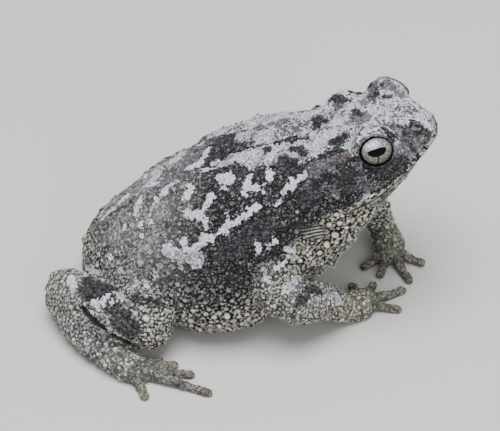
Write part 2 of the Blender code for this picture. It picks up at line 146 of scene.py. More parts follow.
# Raised and sunken forms of the skin, on the right side: a path, then its radius and height.
FORMS = {
    "parotoid gland": (((13.6, -8.2, 31.6), (11.6, -9.4, 30.6)), 2.9, 1.1),
    "hip bone": (((-12.0, -5.0, 22.0), (-19.0, -3.4, 17.6)), 3.0, 0.7),
    "ridge over the eardrum": (((18.6, -8.6, 32.9), (16.4, -8.8, 32.6), (14.8, -9.2, 31.9)), 1.1, 0.45),
    "snout's edge": (((23.6, -5.6, 34.2), (26.0, -3.4, 34.9)), 1.5, 0.1),
    "snout's side": (((23.4, -6.8, 33.5), (26.6, -4.8, 33.3)), 3.0, -0.6),
    "swelling at the nostril": ((NOSTRIL, (26.6, -2.3, 34.8)), 1.3, 0.4),
    "hollow before the eye": (((24.6, -7.2, 31.4), (23.4, -8.4, 30.4)), 2.2, -0.35),
    "corner of the mouth": (((16.6, -11.0, 24.6), (15.6, -11.2, 26.2)), 1.3, 0.5),
    "hump of the back": (((-9.5, -11.2, 19.8), (-5.5, -11.2, 22.2), (-2.0, -10.6, 24.0)), 5.0, 0.8),
    "dip of the neck": (((4.8, -10.4, 27.2), (8.0, -9.0, 29.4)), 4.2, -0.9),
}
BACK_GROOVE = (((10.0, 0.0, 31.0), (-6.0, 0.0, 25.0)), 1.8, -0.35)

# The limbs: paths with their radii, and digits with their headings in degrees and lengths.
UPPER_ARM = ((2.4, -8.0, 16.0), (4.4, -13.4, 13.4), (6.6, -16.2, 10.2))
UPPER_ARM_RADII = (5.0, 4.7, 3.5)
FOREARM = ((7.6, -15.9, 9.0), (9.4, -14.8, 8.0), (12.0, -12.2, 6.1), (14.6, -9.9, 3.2))
FOREARM_RADII = (3.3, 3.3, 2.9, 2.0)
PALM = ((14.6, -10.2, 2.5), (16.4, -7.9, 1.6), (17.2, -6.7, 1.4))
PALM_RADII = (1.9, 2.6, 2.3)
FINGER_ROOT = (17.0, -6.9, 1.2)
FINGERS = ((116.0, 5.2), (80.0, 5.4), (38.0, 7.4), (0.0, 5.8))
FINGER_RADII = (1.1, 0.84, 0.68, 0.70)
THIGH = ((-22.2, -6.0, 6.8), (-18.6, -12.4, 7.4), (-15.6, -17.6, 7.2), (-14.4, -19.4, 6.8))
THIGH_RADII = (5.2, 5.0, 4.4, 3.8)
SHANK = ((-14.8, -20.4, 6.0), (-20.0, -19.4, 6.2), (-25.8, -16.2, 6.2), (-30.0, -13.0, 5.6))
SHANK_RADII = (4.0, 4.6, 4.0, 3.2)
TARSUS = ((-30.6, -13.6, 3.6), (-27.4, -18.0, 3.2), (-23.6, -22.0, 2.7), (-20.4, -24.2, 2.3))
TARSUS_RADII = (3.0, 2.7, 2.4, 2.2)
SOLE = ((-20.8, -24.0, 2.2), (-17.6, -25.6, 1.6), (-15.6, -26.3, 1.3))
SOLE_RADII = (2.2, 2.5, 2.3)
TOE_ROOT = (-16.8, -25.6, 1.2)
TOES = ((34.0, 4.8), (18.0, 6.8), (1.0, 9.6), (-15.0, 13.6), (-58.0, 6.4))
TOE_RADII = (1.25, 0.92, 0.70, 0.66)
WEB_REACH = 0.5
WEB_THICKNESS = 0.8
# How the left limbs are placed: a shift, and for some a turn in degrees and the point that it is about.
LEFT_FORELEG = ((3.6, -0.4, 0.0),)
LEFT_HAND = ((3.6, 0.1, 0.0), -18.0, PALM[0])
LEFT_HIND_LEG = ((4.5, -1.5, 0.0), 16.0, THIGH[-1])

# The large warts: smallest and largest radius, how far apart they keep, how many, and the seed. A limb's keep
# clear of its neighbour, by the reach that follows it.
TRUNK_WARTS = ((1.0, 1.7), 2.7, 170, 11)
LIMB_WARTS = (
    (UPPER_ARM, UPPER_ARM_RADII, ((0.7, 1.2), 2.0, 24, 21), FOREARM, 4.4, LEFT_FORELEG),
    (FOREARM, FOREARM_RADII, ((0.7, 1.1), 1.9, 24, 22), UPPER_ARM[:2], 5.6, LEFT_FORELEG),
    (THIGH, THIGH_RADII, ((0.9, 1.4), 2.3, 40, 31), SHANK, 5.4, LEFT_HIND_LEG),
    (SHANK, SHANK_RADII, ((0.8, 1.4), 2.2, 60, 32), THIGH, 5.8, LEFT_HIND_LEG),
    (TARSUS, TARSUS_RADII, ((0.7, 1.1), 2.0, 40, 33), SHANK, 5.0, LEFT_HIND_LEG),
)
WART_HEIGHT = 0.55
TUBERCLE_HEIGHT = 0.42
TUBERCLE_SEED = 5

# Where skin runs smoothly from one part into the next: a point on the right side, how far, and which limb.
JOINS = (
    ((2.6, -13.6, 16.0), 5.0, LEFT_FORELEG),
    ((6.8, -16.2, 9.8), 4.2, LEFT_FORELEG),
    ((14.4, -10.0, 3.0), 2.8, LEFT_HAND),
    ((-14.6, -19.8, 6.4), 3.6, LEFT_HIND_LEG),
    ((-30.2, -13.4, 4.4), 3.6, LEFT_HIND_LEG),
    ((-20.6, -24.0, 2.2), 2.8, LEFT_HIND_LEG),
)
SMOOTHING_ROUNDS = 26
LEAST_SMOOTHING = 0.12

# Markings and bands, as strokes over the photograph: a half width, then the pixels it runs through, each as
# across and down. A stroke is laid on the skin that the camera sees there, and mirrored on the other side.
STROKES = {
    # White marks.
    "light": (
        (4.5, 220, 176, 231, 177), (3.5, 221, 182, 231, 182), (2.0, 222, 188, 227, 189),
        (3.8, 251, 175, 247, 184, 244, 193), (3.0, 247, 190, 256, 188, 264, 186, 263, 191),
        (3.6, 268, 171, 271, 178), (4.2, 305, 175, 296, 181, 284, 191), (2.4, 281, 200, 275, 207),
        (3.8, 249, 211, 258, 206), (3.3, 245, 215, 238, 220, 228, 226), (2.8, 228, 226, 219, 233, 212, 239),
        (2.0, 227, 214, 229, 222), (3.9, 210, 197, 206, 208, 199, 217), (1.8, 205, 216, 206, 229),
        (3.6, 184, 211, 192, 215, 199, 213), (4.8, 206, 236, 199, 246, 193, 255), (3.0, 182, 238, 186, 250),
        (5.6, 166, 250, 178, 256, 190, 258, 198, 262), (2.8, 161, 266, 156, 273, 154, 281),
        (3.5, 190, 186, 190, 193, 186, 200), (2.8, 177, 181, 169, 186, 163, 195), (4.8, 139, 200, 136, 211),
        (1.5, 136, 214, 137, 221), (2.4, 157, 199, 153, 208, 147, 218), (2.5, 141, 224, 142, 227),
        (2.5, 141, 235, 142, 237), (1.7, 151, 222, 150, 227), (2.0, 125, 226, 126, 228),
        (2.2, 110, 254, 111, 256), (3.0, 128, 197, 118, 204, 106, 215), (3.2, 148, 186, 156, 184),
        (2.8, 133, 181, 145, 177), (3.4, 178, 148, 187, 144, 196, 140), (2.8, 199, 145, 207, 141),
        (3.9, 209, 149, 205, 156, 198, 164, 189, 168), (3.6, 203, 171, 213, 168),
        (3.2, 82, 268, 74, 269, 70, 276, 73, 285, 74, 291), (2.6, 82, 270, 84, 277),
        (2.2, 86, 267, 95, 270, 103, 275), (2.6, 104, 304, 105, 297, 112, 293, 119, 294, 121, 300),
        (1.8, 112, 300, 111, 306), (3.0, 94, 302, 98, 307), (3.4, 92, 311, 92, 313),
        (2.6, 131, 288, 138, 284), (2.4, 145, 281, 147, 287), (1.9, 258, 243, 259, 251),
        (2.1, 276, 240, 271, 245, 268, 250), (2.6, 286, 248, 297, 253), (2.6, 288, 256, 298, 258),
        (3.6, 262, 271, 266, 279), (2.0, 276, 267, 284, 262), (3.8, 208, 200, 204, 210),
        (3.6, 186, 212, 194, 216), (2.3, 205, 216, 206, 228), (3.4, 190, 188, 187, 198),
        (5.2, 139, 201, 137, 210), (2.6, 155, 202, 150, 213), (4.6, 222, 178, 230, 180),
    ),
    # Pale, speckled areas of the back and head.
    "pale": (
        (9.0, 218, 163, 240, 157, 262, 153, 285, 149, 305, 147, 326, 145),
        (13.0, 326, 140, 345, 132, 362, 128),
        (12.5, 232, 128, 252, 124, 272, 121, 292, 119, 310, 116, 326, 106),
        (7.0, 252, 140, 275, 137, 298, 134, 318, 132), (5.0, 296, 158, 299, 163),
        (15.0, 330, 128, 350, 118, 372, 116, 394, 120), (8.0, 238, 137, 258, 133, 284, 129, 306, 125),
        (8.0, 322, 113, 336, 112, 348, 107), (5.0, 322, 104, 332, 97, 344, 92),
        (5.5, 299, 161, 308, 155, 318, 153), (15.0, 246, 121, 264, 117, 285, 115, 305, 110),
        (13.0, 345, 101, 364, 100, 386, 96, 402, 104), (8.5, 400, 112, 418, 112, 428, 122),
        (9.0, 370, 82, 383, 79, 397, 86), (8.0, 402, 90, 414, 102, 428, 116), (7.0, 400, 147, 408, 152),
        (5.0, 352, 150, 358, 143, 368, 138, 380, 136),
        (6.0, 348, 142, 357, 133, 369, 127, 384, 126, 395, 130), (5.0, 258, 163, 276, 158),
        (3.5, 243, 166, 252, 168), (3.5, 186, 152, 180, 158), (6.0, 158, 172, 172, 160, 186, 153, 198, 148),
        (12.5, 216, 134, 230, 129, 246, 125, 264, 121, 285, 117, 305, 113, 325, 104),
        (5.5, 168, 163, 160, 172, 150, 183, 138, 192), (4.5, 186, 170, 176, 176, 166, 182),
        (5.0, 124, 192, 112, 202, 102, 214), (2.4, 360, 200, 372, 194), (3.0, 84, 292, 94, 302),
        (4.0, 286, 292, 294, 284, 303, 281), (4.2, 328, 293, 337, 300),
    ),
    # Black patches on the back, the head and the limbs, and a thin line of painted shade under the ridge
    # behind the eye.
    "dark": (
        (9.5, 213, 147, 221, 140, 229, 141), (4.5, 210, 160, 214, 153), (2.2, 236, 147, 247, 144, 256, 142),
        (2.0, 304, 138, 314, 130, 323, 124), (4.0, 316, 119, 326, 122), (4.8, 334, 141, 343, 137),
        (5.8, 293, 148, 298, 151, 304, 154), (4.0, 264, 149, 270, 150), (5.4, 239, 170, 242, 174),
        (6.4, 282, 161, 292, 167, 299, 171), (3.4, 337, 98, 350, 102), (2.0, 381, 84, 377, 94),
        (2.6, 384, 96, 391, 97), (3.6, 353, 111, 360, 115), (2.6, 405, 132, 416, 134, 426, 130),
        (3.4, 408, 140, 413, 148), (7.5, 384, 160, 396, 162, 405, 166), (4.5, 378, 170, 390, 174),
        # The first stroke on the next line is painted shade under the ridge behind the eye.
        (1.3, 330, 164, 340, 163, 350, 160), (1.6, 106, 219, 120, 209, 137, 199),
        (4.5, 299, 301, 309, 292, 318, 290), (10.5, 86, 280, 95, 286, 105, 294), (6.0, 84, 291, 94, 297),
        (8.5, 111, 308, 120, 317, 130, 329), (5.0, 136, 300, 150, 300, 158, 304),
        (8.0, 222, 258, 236, 246, 252, 236, 270, 226), (6.5, 306, 196, 318, 186, 326, 176),
    ),
    # The pale edges of the lips and the snout's tip.
    "cream": (
        (1.6, 431, 114, 434, 128, 431, 140, 425, 150), (2.4, 434, 122, 434, 132),
    ),
    # Grey areas between the others.
    "grey": (
        (12.0, 396, 128, 408, 140, 404, 152), (4.0, 366, 188, 378, 184),
        (13.0, 200, 150, 184, 164, 166, 180, 150, 200), (9.0, 116, 214, 104, 232, 96, 250),
        (12.0, 60, 284, 60, 306, 76, 332, 104, 350), (7.5, 306, 172, 320, 170, 332, 170),
        (5.0, 310, 187, 322, 185), (3.0, 326, 172, 326, 186, 338, 194), (3.0, 358, 162, 362, 176, 354, 190),
        (5.0, 376, 82, 372, 92, 366, 102), (8.0, 354, 112, 364, 118), (4.5, 257, 127, 261, 130),
        (5.5, 280, 124, 286, 122), (3.5, 336, 112, 340, 104), (5.0, 388, 84, 396, 89, 401, 95),
        (10.0, 297, 302, 309, 292, 322, 290), (8.0, 304, 305, 322, 305), (13.5, 86, 280, 95, 286, 105, 294),
        (8.5, 84, 291, 94, 297), (10.0, 112, 308, 120, 316, 127, 326),
    ),
    # The brown ridge behind the eye, its brown with a painted highlight along its top.
    "brown": (
        (3.4, 329, 161, 339, 158, 350, 155),
    ),
    # Where the white marks break up into grains.
    "grained": (
        (8.0, 158, 262, 176, 260, 192, 262, 202, 256), (8.0, 150, 284, 157, 271), (8.0, 128, 290, 148, 282),
        (9.0, 258, 270, 270, 264),
    ),
    # The side of the throat and the front of the shoulder, where cream tubercles crowd.
    "throat": (
        (15.0, 356, 211, 336, 222, 316, 240, 300, 258), (13.0, 368, 208, 352, 224, 336, 242, 320, 262),
        (9.0, 300, 258, 286, 266, 270, 280),
    ),
    # The fold between the thigh and the shank, sunk into the skin and painted near black as its shadow.
    "shaded_fold": (
        (3.0, 80, 306, 98, 325, 117, 338, 136, 347),
    ),
}
PAINTED = ("light", "pale", "dark", "cream", "grey", "brown", "grained")
STROKE_SEED = 3
# How much the marks' outlines swell and shrink along a stroke, as a share of its width.
LUMPS = 0.45
EDGE_OF_MARK = 0.08
FAR_OUTSIDE = -2.0
FOLD_DEPTH = 0.45

# Fine creases in front of the shoulder: their middle and reach in pixels, spacing and slant.
CREASE_MIDDLE = (313, 231)
CREASE_REACH = (20.0, 11.5)
CREASE_SPACING = 3.1
CREASE_SLANT = 0.16
CREASE_HEIGHT = 0.09

# How far apart the skin's painted grains lie, coarse and fine.
GRAIN_SIZE = 0.46
SPECK_SIZE = 0.27

# Colours, as red, green and blue shares of linear light.
DARK_GROUND = (0.020, 0.018, 0.019)
RUMP_GROUND = (0.36, 0.335, 0.29)
RUMP_BROWN = (0.072, 0.063, 0.055)
RUMP_LILAC = (0.32, 0.295, 0.325)
LEG_GROUND = (0.085, 0.077, 0.080)
SHANK_GROUND = (0.20, 0.18, 0.19)
ARM_GROUND = (0.17, 0.16, 0.16)
UNDERSIDE = (0.28, 0.27, 0.21)
HAND_SKIN = (0.38, 0.37, 0.285)
FOOT_SKIN = (0.30, 0.29, 0.265)
DIGIT_TIP = (0.42, 0.37, 0.27)
EARDRUM_SKIN = (0.050, 0.048, 0.052)
# The ridge behind the eye: its brown with a painted highlight.
RIDGE_BROWN_HIGHLIGHT = (0.33, 0.26, 0.235)
LIGHT_SKIN = (0.87, 0.88, 0.955)
PALE_SKIN = (0.86, 0.865, 0.945)
LILAC_SKIN = (0.335, 0.33, 0.42)
SPECK = (0.035, 0.033, 0.040)
BRIGHT_GRAIN = (0.95, 0.955, 1.0)
MIDDLE_GREY = (0.15, 0.145, 0.16)
TIP_GREY = (0.34, 0.335, 0.355)
NEAR_BLACK = (0.006, 0.005, 0.006)
CREAM = (0.85, 0.82, 0.695)
LIP_SKIN = (0.46, 0.44, 0.36)
LID_BLACK = (0.025, 0.026, 0.028)
LID_GREY = (0.11, 0.115, 0.12)
IRIS_LOW = (0.27, 0.285, 0.24)
# Painted reflection of the sky, lightening the iris towards its top.
IRIS_REFLECTED_TOP = (0.44, 0.46, 0.455)
IRIS_VEIN = (0.07, 0.08, 0.06)
# Painted reflection of the sky, a bright spot at the upper back of the iris.
IRIS_PAINTED_REFLECTION = (0.85, 0.91, 0.98)
# Painted shade, darkening the iris towards its rim.
IRIS_RIM_SHADE = (0.12, 0.12, 0.10)
EYE_RIM = (0.006, 0.006, 0.006)
PUPIL_BLACK = (0.003, 0.003, 0.003)
LINE_BLACK = (0.005, 0.005, 0.005)
FLOOR_PAPER = (0.62, 0.61, 0.59)
STUDIO_WHITE = (0.90, 0.95, 1.0)

# The stage, in metres: half the floor's width, the light from all round, and each lamp's name, place, size,
# power and whether it shows in reflections.
FLOOR_REACH = 1.5
STUDIO_STRENGTH = 0.55
LAMPS = (
    ("overhead", (0.02, -0.06, 0.45), 0.35, 2.9, True),
    ("front", (0.30, -0.35, 0.25), 0.25, 0.75, False),
)


def spline(rows, steps):
    """Points read at the given steps along a smooth curve through the rows, one step from row to row."""
    rows = np.array(rows, float)
    padded = np.vstack([2 * rows[0] - rows[1], rows, 2 * rows[-1] - rows[-2]])
    steps = np.clip(np.atleast_1d(np.array(steps, float)), 0, len(rows) - 1 - 1e-9)
    start = steps.astype(int)
    t = (steps - start)[:, None]
    before, here, after, beyond = (padded[start + k] for k in range(4))
    return 0.5 * (
        2 * here
        + (after - before) * t
        + (2 * before - 5 * here + 4 * after - beyond) * t**2
        + (3 * here - before - 3 * after + beyond) * t**3
    )


def smooth_step(values):
    """0 below 0 and 1 above 1, with a smooth rise between."""
    values = np.clip(values, 0, 1)
    return values * values * (3 - 2 * values)


def bell(values, middle, width):
    """1 at the middle, falling away on both sides over the width."""
    return np.exp(-(((values - middle) / width) ** 2))


def full_turn(count):
    return np.linspace(0, 2 * math.pi, count, endpoint=False)


def distance_to(points, place):
    return np.linalg.norm(points - place, axis=1)


def distance_to_path(points, path):
    """The distance from each point to a line through the path's points."""
    nearest = np.full(len(points), np.inf)
    path = np.array(path, float)
    for start, end in zip(path, path[1:]):
        along = end - start
        share = np.clip((points - start) @ along / max(along @ along, 1e-9), 0, 1)
        nearest = np.minimum(nearest, np.linalg.norm(points - start - np.outer(share, along), axis=1))
    return nearest


def ridge(points, path, radius, height):
    return height * smooth_step(1 - distance_to_path(points, path) / radius)


def clear_of(points, path, reach):
    """1 for points away from a path, falling to 0 for those within reach of it."""
    return smooth_step((distance_to_path(points, path) - reach) / 1.5)


def nearness(points, path, reach, soft):
    """1 within reach of a path, falling to 0 over the soft distance."""
    return smooth_step(1 - (distance_to_path(points, path) - reach) / soft)


def uneven(points, size, height):
    """Soft lumps and hollows about this many millimetres across."""
    return height * np.array([noise.noise(Vector(point)) for point in points / size])


def on_side(values, side):
    """The right side's point or points, taken to the side that is -1 for right and 1 for left."""
    turned = np.array(values, float)
    turned[..., 1] *= -side
    return turned


def to_left(points, shift=(0.0, 0.0, 0.0), turn=0.0, pivot=(0.0, 0.0, 0.0)):
    """Takes points to the left side, turns them about an upright line and shifts them."""
    pivot = on_side(pivot, LEFT)
    turning = np.array(Matrix.Rotation(math.radians(turn), 3, "Z"))
    return (on_side(points, LEFT) - pivot) @ turning.T + pivot + np.array(shift)


def place_limb(points, side, placing):
    return np.array(points, float) if side == RIGHT else to_left(points, *placing)


def add_object(name, data):
    obj = bpy.data.objects.new(name, data)
    bpy.context.scene.collection.objects.link(obj)
    return obj


def object_from(name, points, faces):
    mesh = bpy.data.meshes.new(name)
    mesh.from_pydata([tuple(point) for point in points], [], faces)
    mesh.update()
    return add_object(name, mesh)


def object_of(name, bm):
    """An object of a finished bmesh, which is freed."""
    mesh = bpy.data.meshes.new(name)
    bm.to_mesh(mesh)
    bm.free()
    return add_object(name, mesh)


def tube_faces(rings, sides, closed=False):
    faces = []
    for ring in range(rings if closed else rings - 1):
        here, there = ring * sides, ((ring + 1) % rings) * sides
        for side in range(sides):
            following = (side + 1) % sides
            faces.append((here + side, here + following, there + following, there + side))
    if not closed:
        faces.append(tuple(range(sides))[::-1])
        faces.append(tuple(range((rings - 1) * sides, rings * sides)))
    return faces


def face_out(obj):
    bm = bmesh.new()
    bm.from_mesh(obj.data)
    bmesh.ops.recalc_face_normals(bm, faces=bm.faces)
    bm.to_mesh(obj.data)
    bm.free()
    return obj


def skin_rings(name, rings):
    """A closed tube through the rings."""
    return face_out(object_from(name, np.vstack(rings), tube_faces(len(rings), len(rings[0]))))


def limb_rings(path, radii, sides=28, spacing=0.55, cap=(80, 62, 42, 21)):
    """Rings round a smooth path, drawn in round at both ends."""
    path = np.array(path, float)
    rows = np.column_stack([path, radii])
    length = np.linalg.norm(np.diff(path, axis=0), axis=1).sum()
    dense = spline(rows, np.linspace(0, len(rows) - 1, max(8, int(length / spacing))))
    centres, widths = dense[:, :3], dense[:, 3]
    along = np.gradient(centres, axis=0)
    along /= np.linalg.norm(along, axis=1)[:, None]
    across = np.cross(along, (0, 0, 1))
    across /= np.linalg.norm(across, axis=1)[:, None]
    upward = np.cross(across, along)
    turns = full_turn(sides)

    def ring(index, lean=0.0):
        reach = widths[index] * math.cos(lean)
        centre = centres[index] + along[index] * widths[index] * math.sin(lean)
        circle = np.outer(np.cos(turns), across[index]) + np.outer(np.sin(turns), upward[index])
        return centre + reach * circle

    cap = np.radians(cap)
    rings = [ring(0, -lean) for lean in cap]
    rings += [ring(index) for index in range(len(centres))]
    rings += [ring(-1, lean) for lean in cap[::-1]]
    return rings


def body_slice(step):
    """The outline of the body at a step along its stations."""
    back_x, back_z, belly_x, belly_z, half_width, squareness, bend = spline(BODY_STATIONS, step)[0]
    belly = np.array((belly_x, bend, belly_z))
    rise = np.array((back_x, bend, back_z)) - belly
    turns = full_turn(BODY_SIDES)
    side = np.sign(np.cos(turns)) * np.abs(np.cos(turns)) ** (2 / squareness)
    height = np.sign(np.sin(turns)) * np.abs(np.sin(turns)) ** (2 / squareness)
    level = WIDEST_AT + np.where(height > 0, (1 - WIDEST_AT) * height, WIDEST_AT * height)
    return belly + np.outer(level, rise) + np.outer(side * half_width, (0, 1, 0))


def swell_to_ball(points, centre, radius, blend=0.5):
    """Moves points inside a ball out to its surface, with a rounded foot round it."""
    away = points - centre
    distance = np.linalg.norm(away, axis=1)
    push = blend * np.logaddexp(0, (radius - distance) / blend)
    push[distance > radius + 6 * blend] = 0
    return points + away / distance[:, None] * push[:, None]


def heading_way(heading):
    """A level step one millimetre long, this many degrees from straight ahead."""
    turn = math.radians(heading)
    return np.array((math.cos(turn), math.sin(turn), 0))


def digit_rings(root, digits, radii, knuckle_lift):
    made = []
    for heading, reach in digits:
        path = []
        for share, height in ((0.0, root[2]), (0.42, 0.7 + knuckle_lift), (0.74, 0.62), (1.0, 0.56)):
            path.append(np.array((root[0], root[1], height)) + heading_way(heading) * share * reach)
        made.append(limb_rings(path, radii, sides=20, spacing=0.4, cap=(78, 55, 30)))
    return made


def digit_tips(root, digits):
    return [np.add(root, reach * heading_way(heading) + (0, 0, -0.4)) for heading, reach in digits]


def web_rings(root, digits):
    """The outline of the web between the toes, at its underside and its top."""
    rim = []
    for (heading, reach), (next_heading, next_reach) in zip(digits, digits[1:]):
        for share in (0.0, 0.25, 0.5, 0.75):
            way = heading_way(heading + (next_heading - heading) * share)
            full = reach + (next_reach - reach) * share
            sag = 1 - 0.45 * math.sin(math.pi * share)
            rim.append(root + way * full * WEB_REACH * sag)
    rim.append((root[0] - 1.0, root[1], root[2]))
    return [[(x, y, z) for x, y, _ in rim] for z in (0.1, 0.1 + WEB_THICKNESS)]


def limb_pieces():
    """Rings of each limb's pieces, with how the left one is placed."""
    pieces = []
    for path, radii, _, _, _, placing in LIMB_WARTS:
        pieces.append((limb_rings(path, radii, sides=56, spacing=0.3, cap=(84, 70, 52, 34, 17)), placing))
    for path, radii, placing in ((PALM, PALM_RADII, LEFT_HAND), (SOLE, SOLE_RADII, LEFT_HIND_LEG)):
        pieces.append((limb_rings(path, radii, sides=32, spacing=0.4), placing))
    pieces += [(rings, LEFT_HAND) for rings in digit_rings(FINGER_ROOT, FINGERS, FINGER_RADII, 0.4)]
    pieces += [(rings, LEFT_HIND_LEG) for rings in digit_rings(TOE_ROOT, TOES, TOE_RADII, 0.3)]
    pieces.append((web_rings(TOE_ROOT, TOES), LEFT_HIND_LEG))
    return pieces


def read_rows(items, name, width, kind=float):
    """One property of every item, a row for each."""
    values = np.empty(len(items) * width, kind)
    items.foreach_get(name, values)
    return values.reshape(-1, width)


def points_of(obj):
    return read_rows(obj.data.vertices, "co", 3)


def normals_of(obj):
    return read_rows(obj.data.vertex_normals, "vector", 3)


def edge_ends(obj):
    """The first and the second point of every edge."""
    return read_rows(obj.data.edges, "vertices", 2, int).T


def move_points(obj, points):
    obj.data.vertices.foreach_set("co", np.ascontiguousarray(points, float).ravel())
    obj.data.update()


def apply_modifiers(obj):
    graph = bpy.context.evaluated_depsgraph_get()
    made = bpy.data.meshes.new_from_object(obj.evaluated_get(graph))
    obj.modifiers.clear()
    old = obj.data
    obj.data = made
    bpy.data.meshes.remove(old)


def keep_largest(obj):
    """Deletes every shell of the mesh but the one with the most points."""
    first, second = edge_ends(obj)
    label = np.arange(len(obj.data.vertices))
    while True:
        lowest = np.minimum(label[first], label[second])
        spread = label.copy()
        np.minimum.at(spread, first, lowest)
        np.minimum.at(spread, second, lowest)
        spread = spread[spread]
        if np.array_equal(spread, label):
            break
        label = spread
    kept = np.bincount(label).argmax()
    bm = bmesh.new()
    bm.from_mesh(obj.data)
    bm.verts.ensure_lookup_table()
    scraps = [bm.verts[index] for index in np.nonzero(label != kept)[0]]
    bmesh.ops.delete(bm, geom=scraps, context="VERTS")
    bm.to_mesh(obj.data)
    bm.free()


def raw_flesh():
    """The body, head and limbs in one closed surface."""
    rings = [body_slice(step) for step in np.linspace(0, len(BODY_STATIONS) - 1, BODY_SLICES)]
    body = skin_rings("skin", rings)
    points = points_of(body)
    for side in SIDES:
        points = swell_to_ball(points, on_side(EYE_CENTRE, side), EYEBALL_RADIUS + LID_THICKNESS)
    move_points(body, points)
    parts = [body]
    for limb, placing in limb_pieces():
        for side in SIDES:
            parts.append(skin_rings("limb", [place_limb(ring, side, placing) for ring in limb]))
    joined = bmesh.new()
    for part in parts:
        joined.from_mesh(part.data)
    joined.to_mesh(body.data)
    joined.free()
    for part in parts[1:]:
        bpy.data.objects.remove(part)
    remesh = body.modifiers.new("one_surface", "REMESH")
    remesh.mode = "VOXEL"
    remesh.voxel_size = VOXEL
    apply_modifiers(body)
    keep_largest(body)
    return body


def smooth(obj, points, weight, rounds):
    """Draws each point towards the middle of its neighbours, by its weight."""
    first, second = edge_ends(obj)
    count = len(points)
    degree = np.bincount(first, minlength=count) + np.bincount(second, minlength=count)
    for _ in range(rounds):
        total = np.empty_like(points)
        for axis in range(3):
            total[:, axis] = np.bincount(first, points[second, axis], count)
            total[:, axis] += np.bincount(second, points[first, axis], count)
        points = points + (total / degree[:, None] - points) * (0.6 * weight)[:, None]
    return points


def large_warts():
    """The centres and radii of the large warts, scattered as they are on the solids."""
    centres, radii = [], []

    def scatter(points, weight, spec, place):
        radius_range, spacing, count, seed = spec
        rng = np.random.default_rng(seed)
        order = rng.permutation(len(points))
        chosen = []
        for index in order[rng.random(len(points)) < weight[order]]:
            if len(chosen) == count:
                break
            if not chosen or distance_to(points[chosen], points[index]).min() > spacing:
                chosen.append(index)
        for index in chosen:
            centres.append(place(points[index]))
            radii.append(rng.uniform(*radius_range))

    points = np.vstack([body_slice(step) for step in np.linspace(0, NECK_STATION, TRUNK_SLICES)])
    off_neck = smooth_step((14.2 - points[:, 0] - 0.05 * (points[:, 2] - 12)) / 2.0)
    flank = smooth_step((np.abs(points[:, 1]) - 4.0) / 6.0)
    weight = (0.2 + 0.8 * flank) * off_neck * smooth_step((points[:, 2] - 1.0) / 2.0)
    limbs = ((THIGH, 6.6, LEFT_HIND_LEG), (SHANK, 6.0, LEFT_HIND_LEG), (UPPER_ARM, 6.2, LEFT_FORELEG))
    for path, reach, placing in limbs:
        weight *= clear_of(points, path, reach) * clear_of(points, to_left(path, *placing), reach)
    scatter(points, weight, TRUNK_WARTS, lambda point: point)
    for path, limb_radii, spec, neighbour, reach, placing in LIMB_WARTS:
        points = np.vstack(limb_rings(path, limb_radii))
        weight = smooth_step((points[:, 2] - 0.6) / 1.5) * clear_of(points, neighbour, reach)
        for side in SIDES:
            scatter(points, weight, spec, lambda point: place_limb(point, side, placing))
    return centres, radii


def eye_axes(side):
    """The way the eye looks, the way to its front corner and the way up across it."""
    outward = Vector(on_side(EYE_LOOKS, side)).normalized()
    snout_way = Vector(EYE_FORWARD)
    forward = (snout_way - outward * outward.dot(snout_way)).normalized()
    upward = outward.cross(forward) * -side
    return np.array(outward), np.array(forward), np.array(upward)


def eye_oval(side, distance, scale, turns, grow=0.0):
    """The outline of the lids' opening, this far out from the eye's centre."""
    outward, forward, upward = eye_axes(side)
    centre = on_side(EYE_CENTRE, side) + outward * distance + upward * EYE_RAISED
    half_length, half_height = EYE_OPENING[0] * scale + grow, EYE_OPENING[1] * scale + grow
    across = np.outer(np.cos(turns) * half_length, forward)
    return centre + across + np.outer(np.sin(turns) * half_height, upward)


def cut_eyes(skin):
    """Opens the lids over a round socket on each side, and trims the skin level with the floor."""
    turns = full_turn(LID_CUT_SIDES)
    cutters = []
    for side in SIDES:
        rings = [eye_oval(side, distance, scale, turns) for distance, scale in LID_CUT]
        cutters.append(skin_rings("lids_cut", rings))
        socket = bmesh.new()
        bmesh.ops.create_icosphere(socket, subdivisions=5, radius=EYEBALL_RADIUS + SOCKET_GAP)
        bmesh.ops.translate(socket, verts=socket.verts, vec=on_side(EYE_CENTRE, side))
        cutters.append(object_of("socket_cut", socket))
    block = bmesh.new()
    bmesh.ops.create_cube(block, size=200.0)
    bmesh.ops.translate(block, verts=block.verts, vec=(0, 0, -100.0))
    cutters.append(object_of("floor_cut", block))
    tools = bpy.data.collections.new("tools")
    bpy.context.scene.collection.children.link(tools)
    for cutter in cutters:
        tools.objects.link(cutter)
    boolean = skin.modifiers.new("openings", "BOOLEAN")
    boolean.operation = "DIFFERENCE"
    boolean.solver = "MANIFOLD"
    boolean.operand_type = "COLLECTION"
    boolean.collection = tools
    apply_modifiers(skin)
    for cutter in cutters:
        bpy.data.objects.remove(cutter)
    bpy.data.collections.remove(tools)
    keep_largest(skin)


def thin_lids(points):
    """Draws the skin beside each lid's edge in towards the eyeball."""
    points = points.copy()
    for side in SIDES:
        centre = on_side(EYE_CENTRE, side)
        gap = distance_to_path(points, eye_oval(side, THIN_LEVEL, 1.0, CLOSED_TURN))
        away = distance_to(points, centre)
        spare = away - EYEBALL_RADIUS - THIN_LID - 0.25 * gap
        excess = np.clip(spare, 0, None) * smooth_step((1.6 - gap) / 0.8)
        points += (centre - points) * (excess / away)[:, None]
    return points


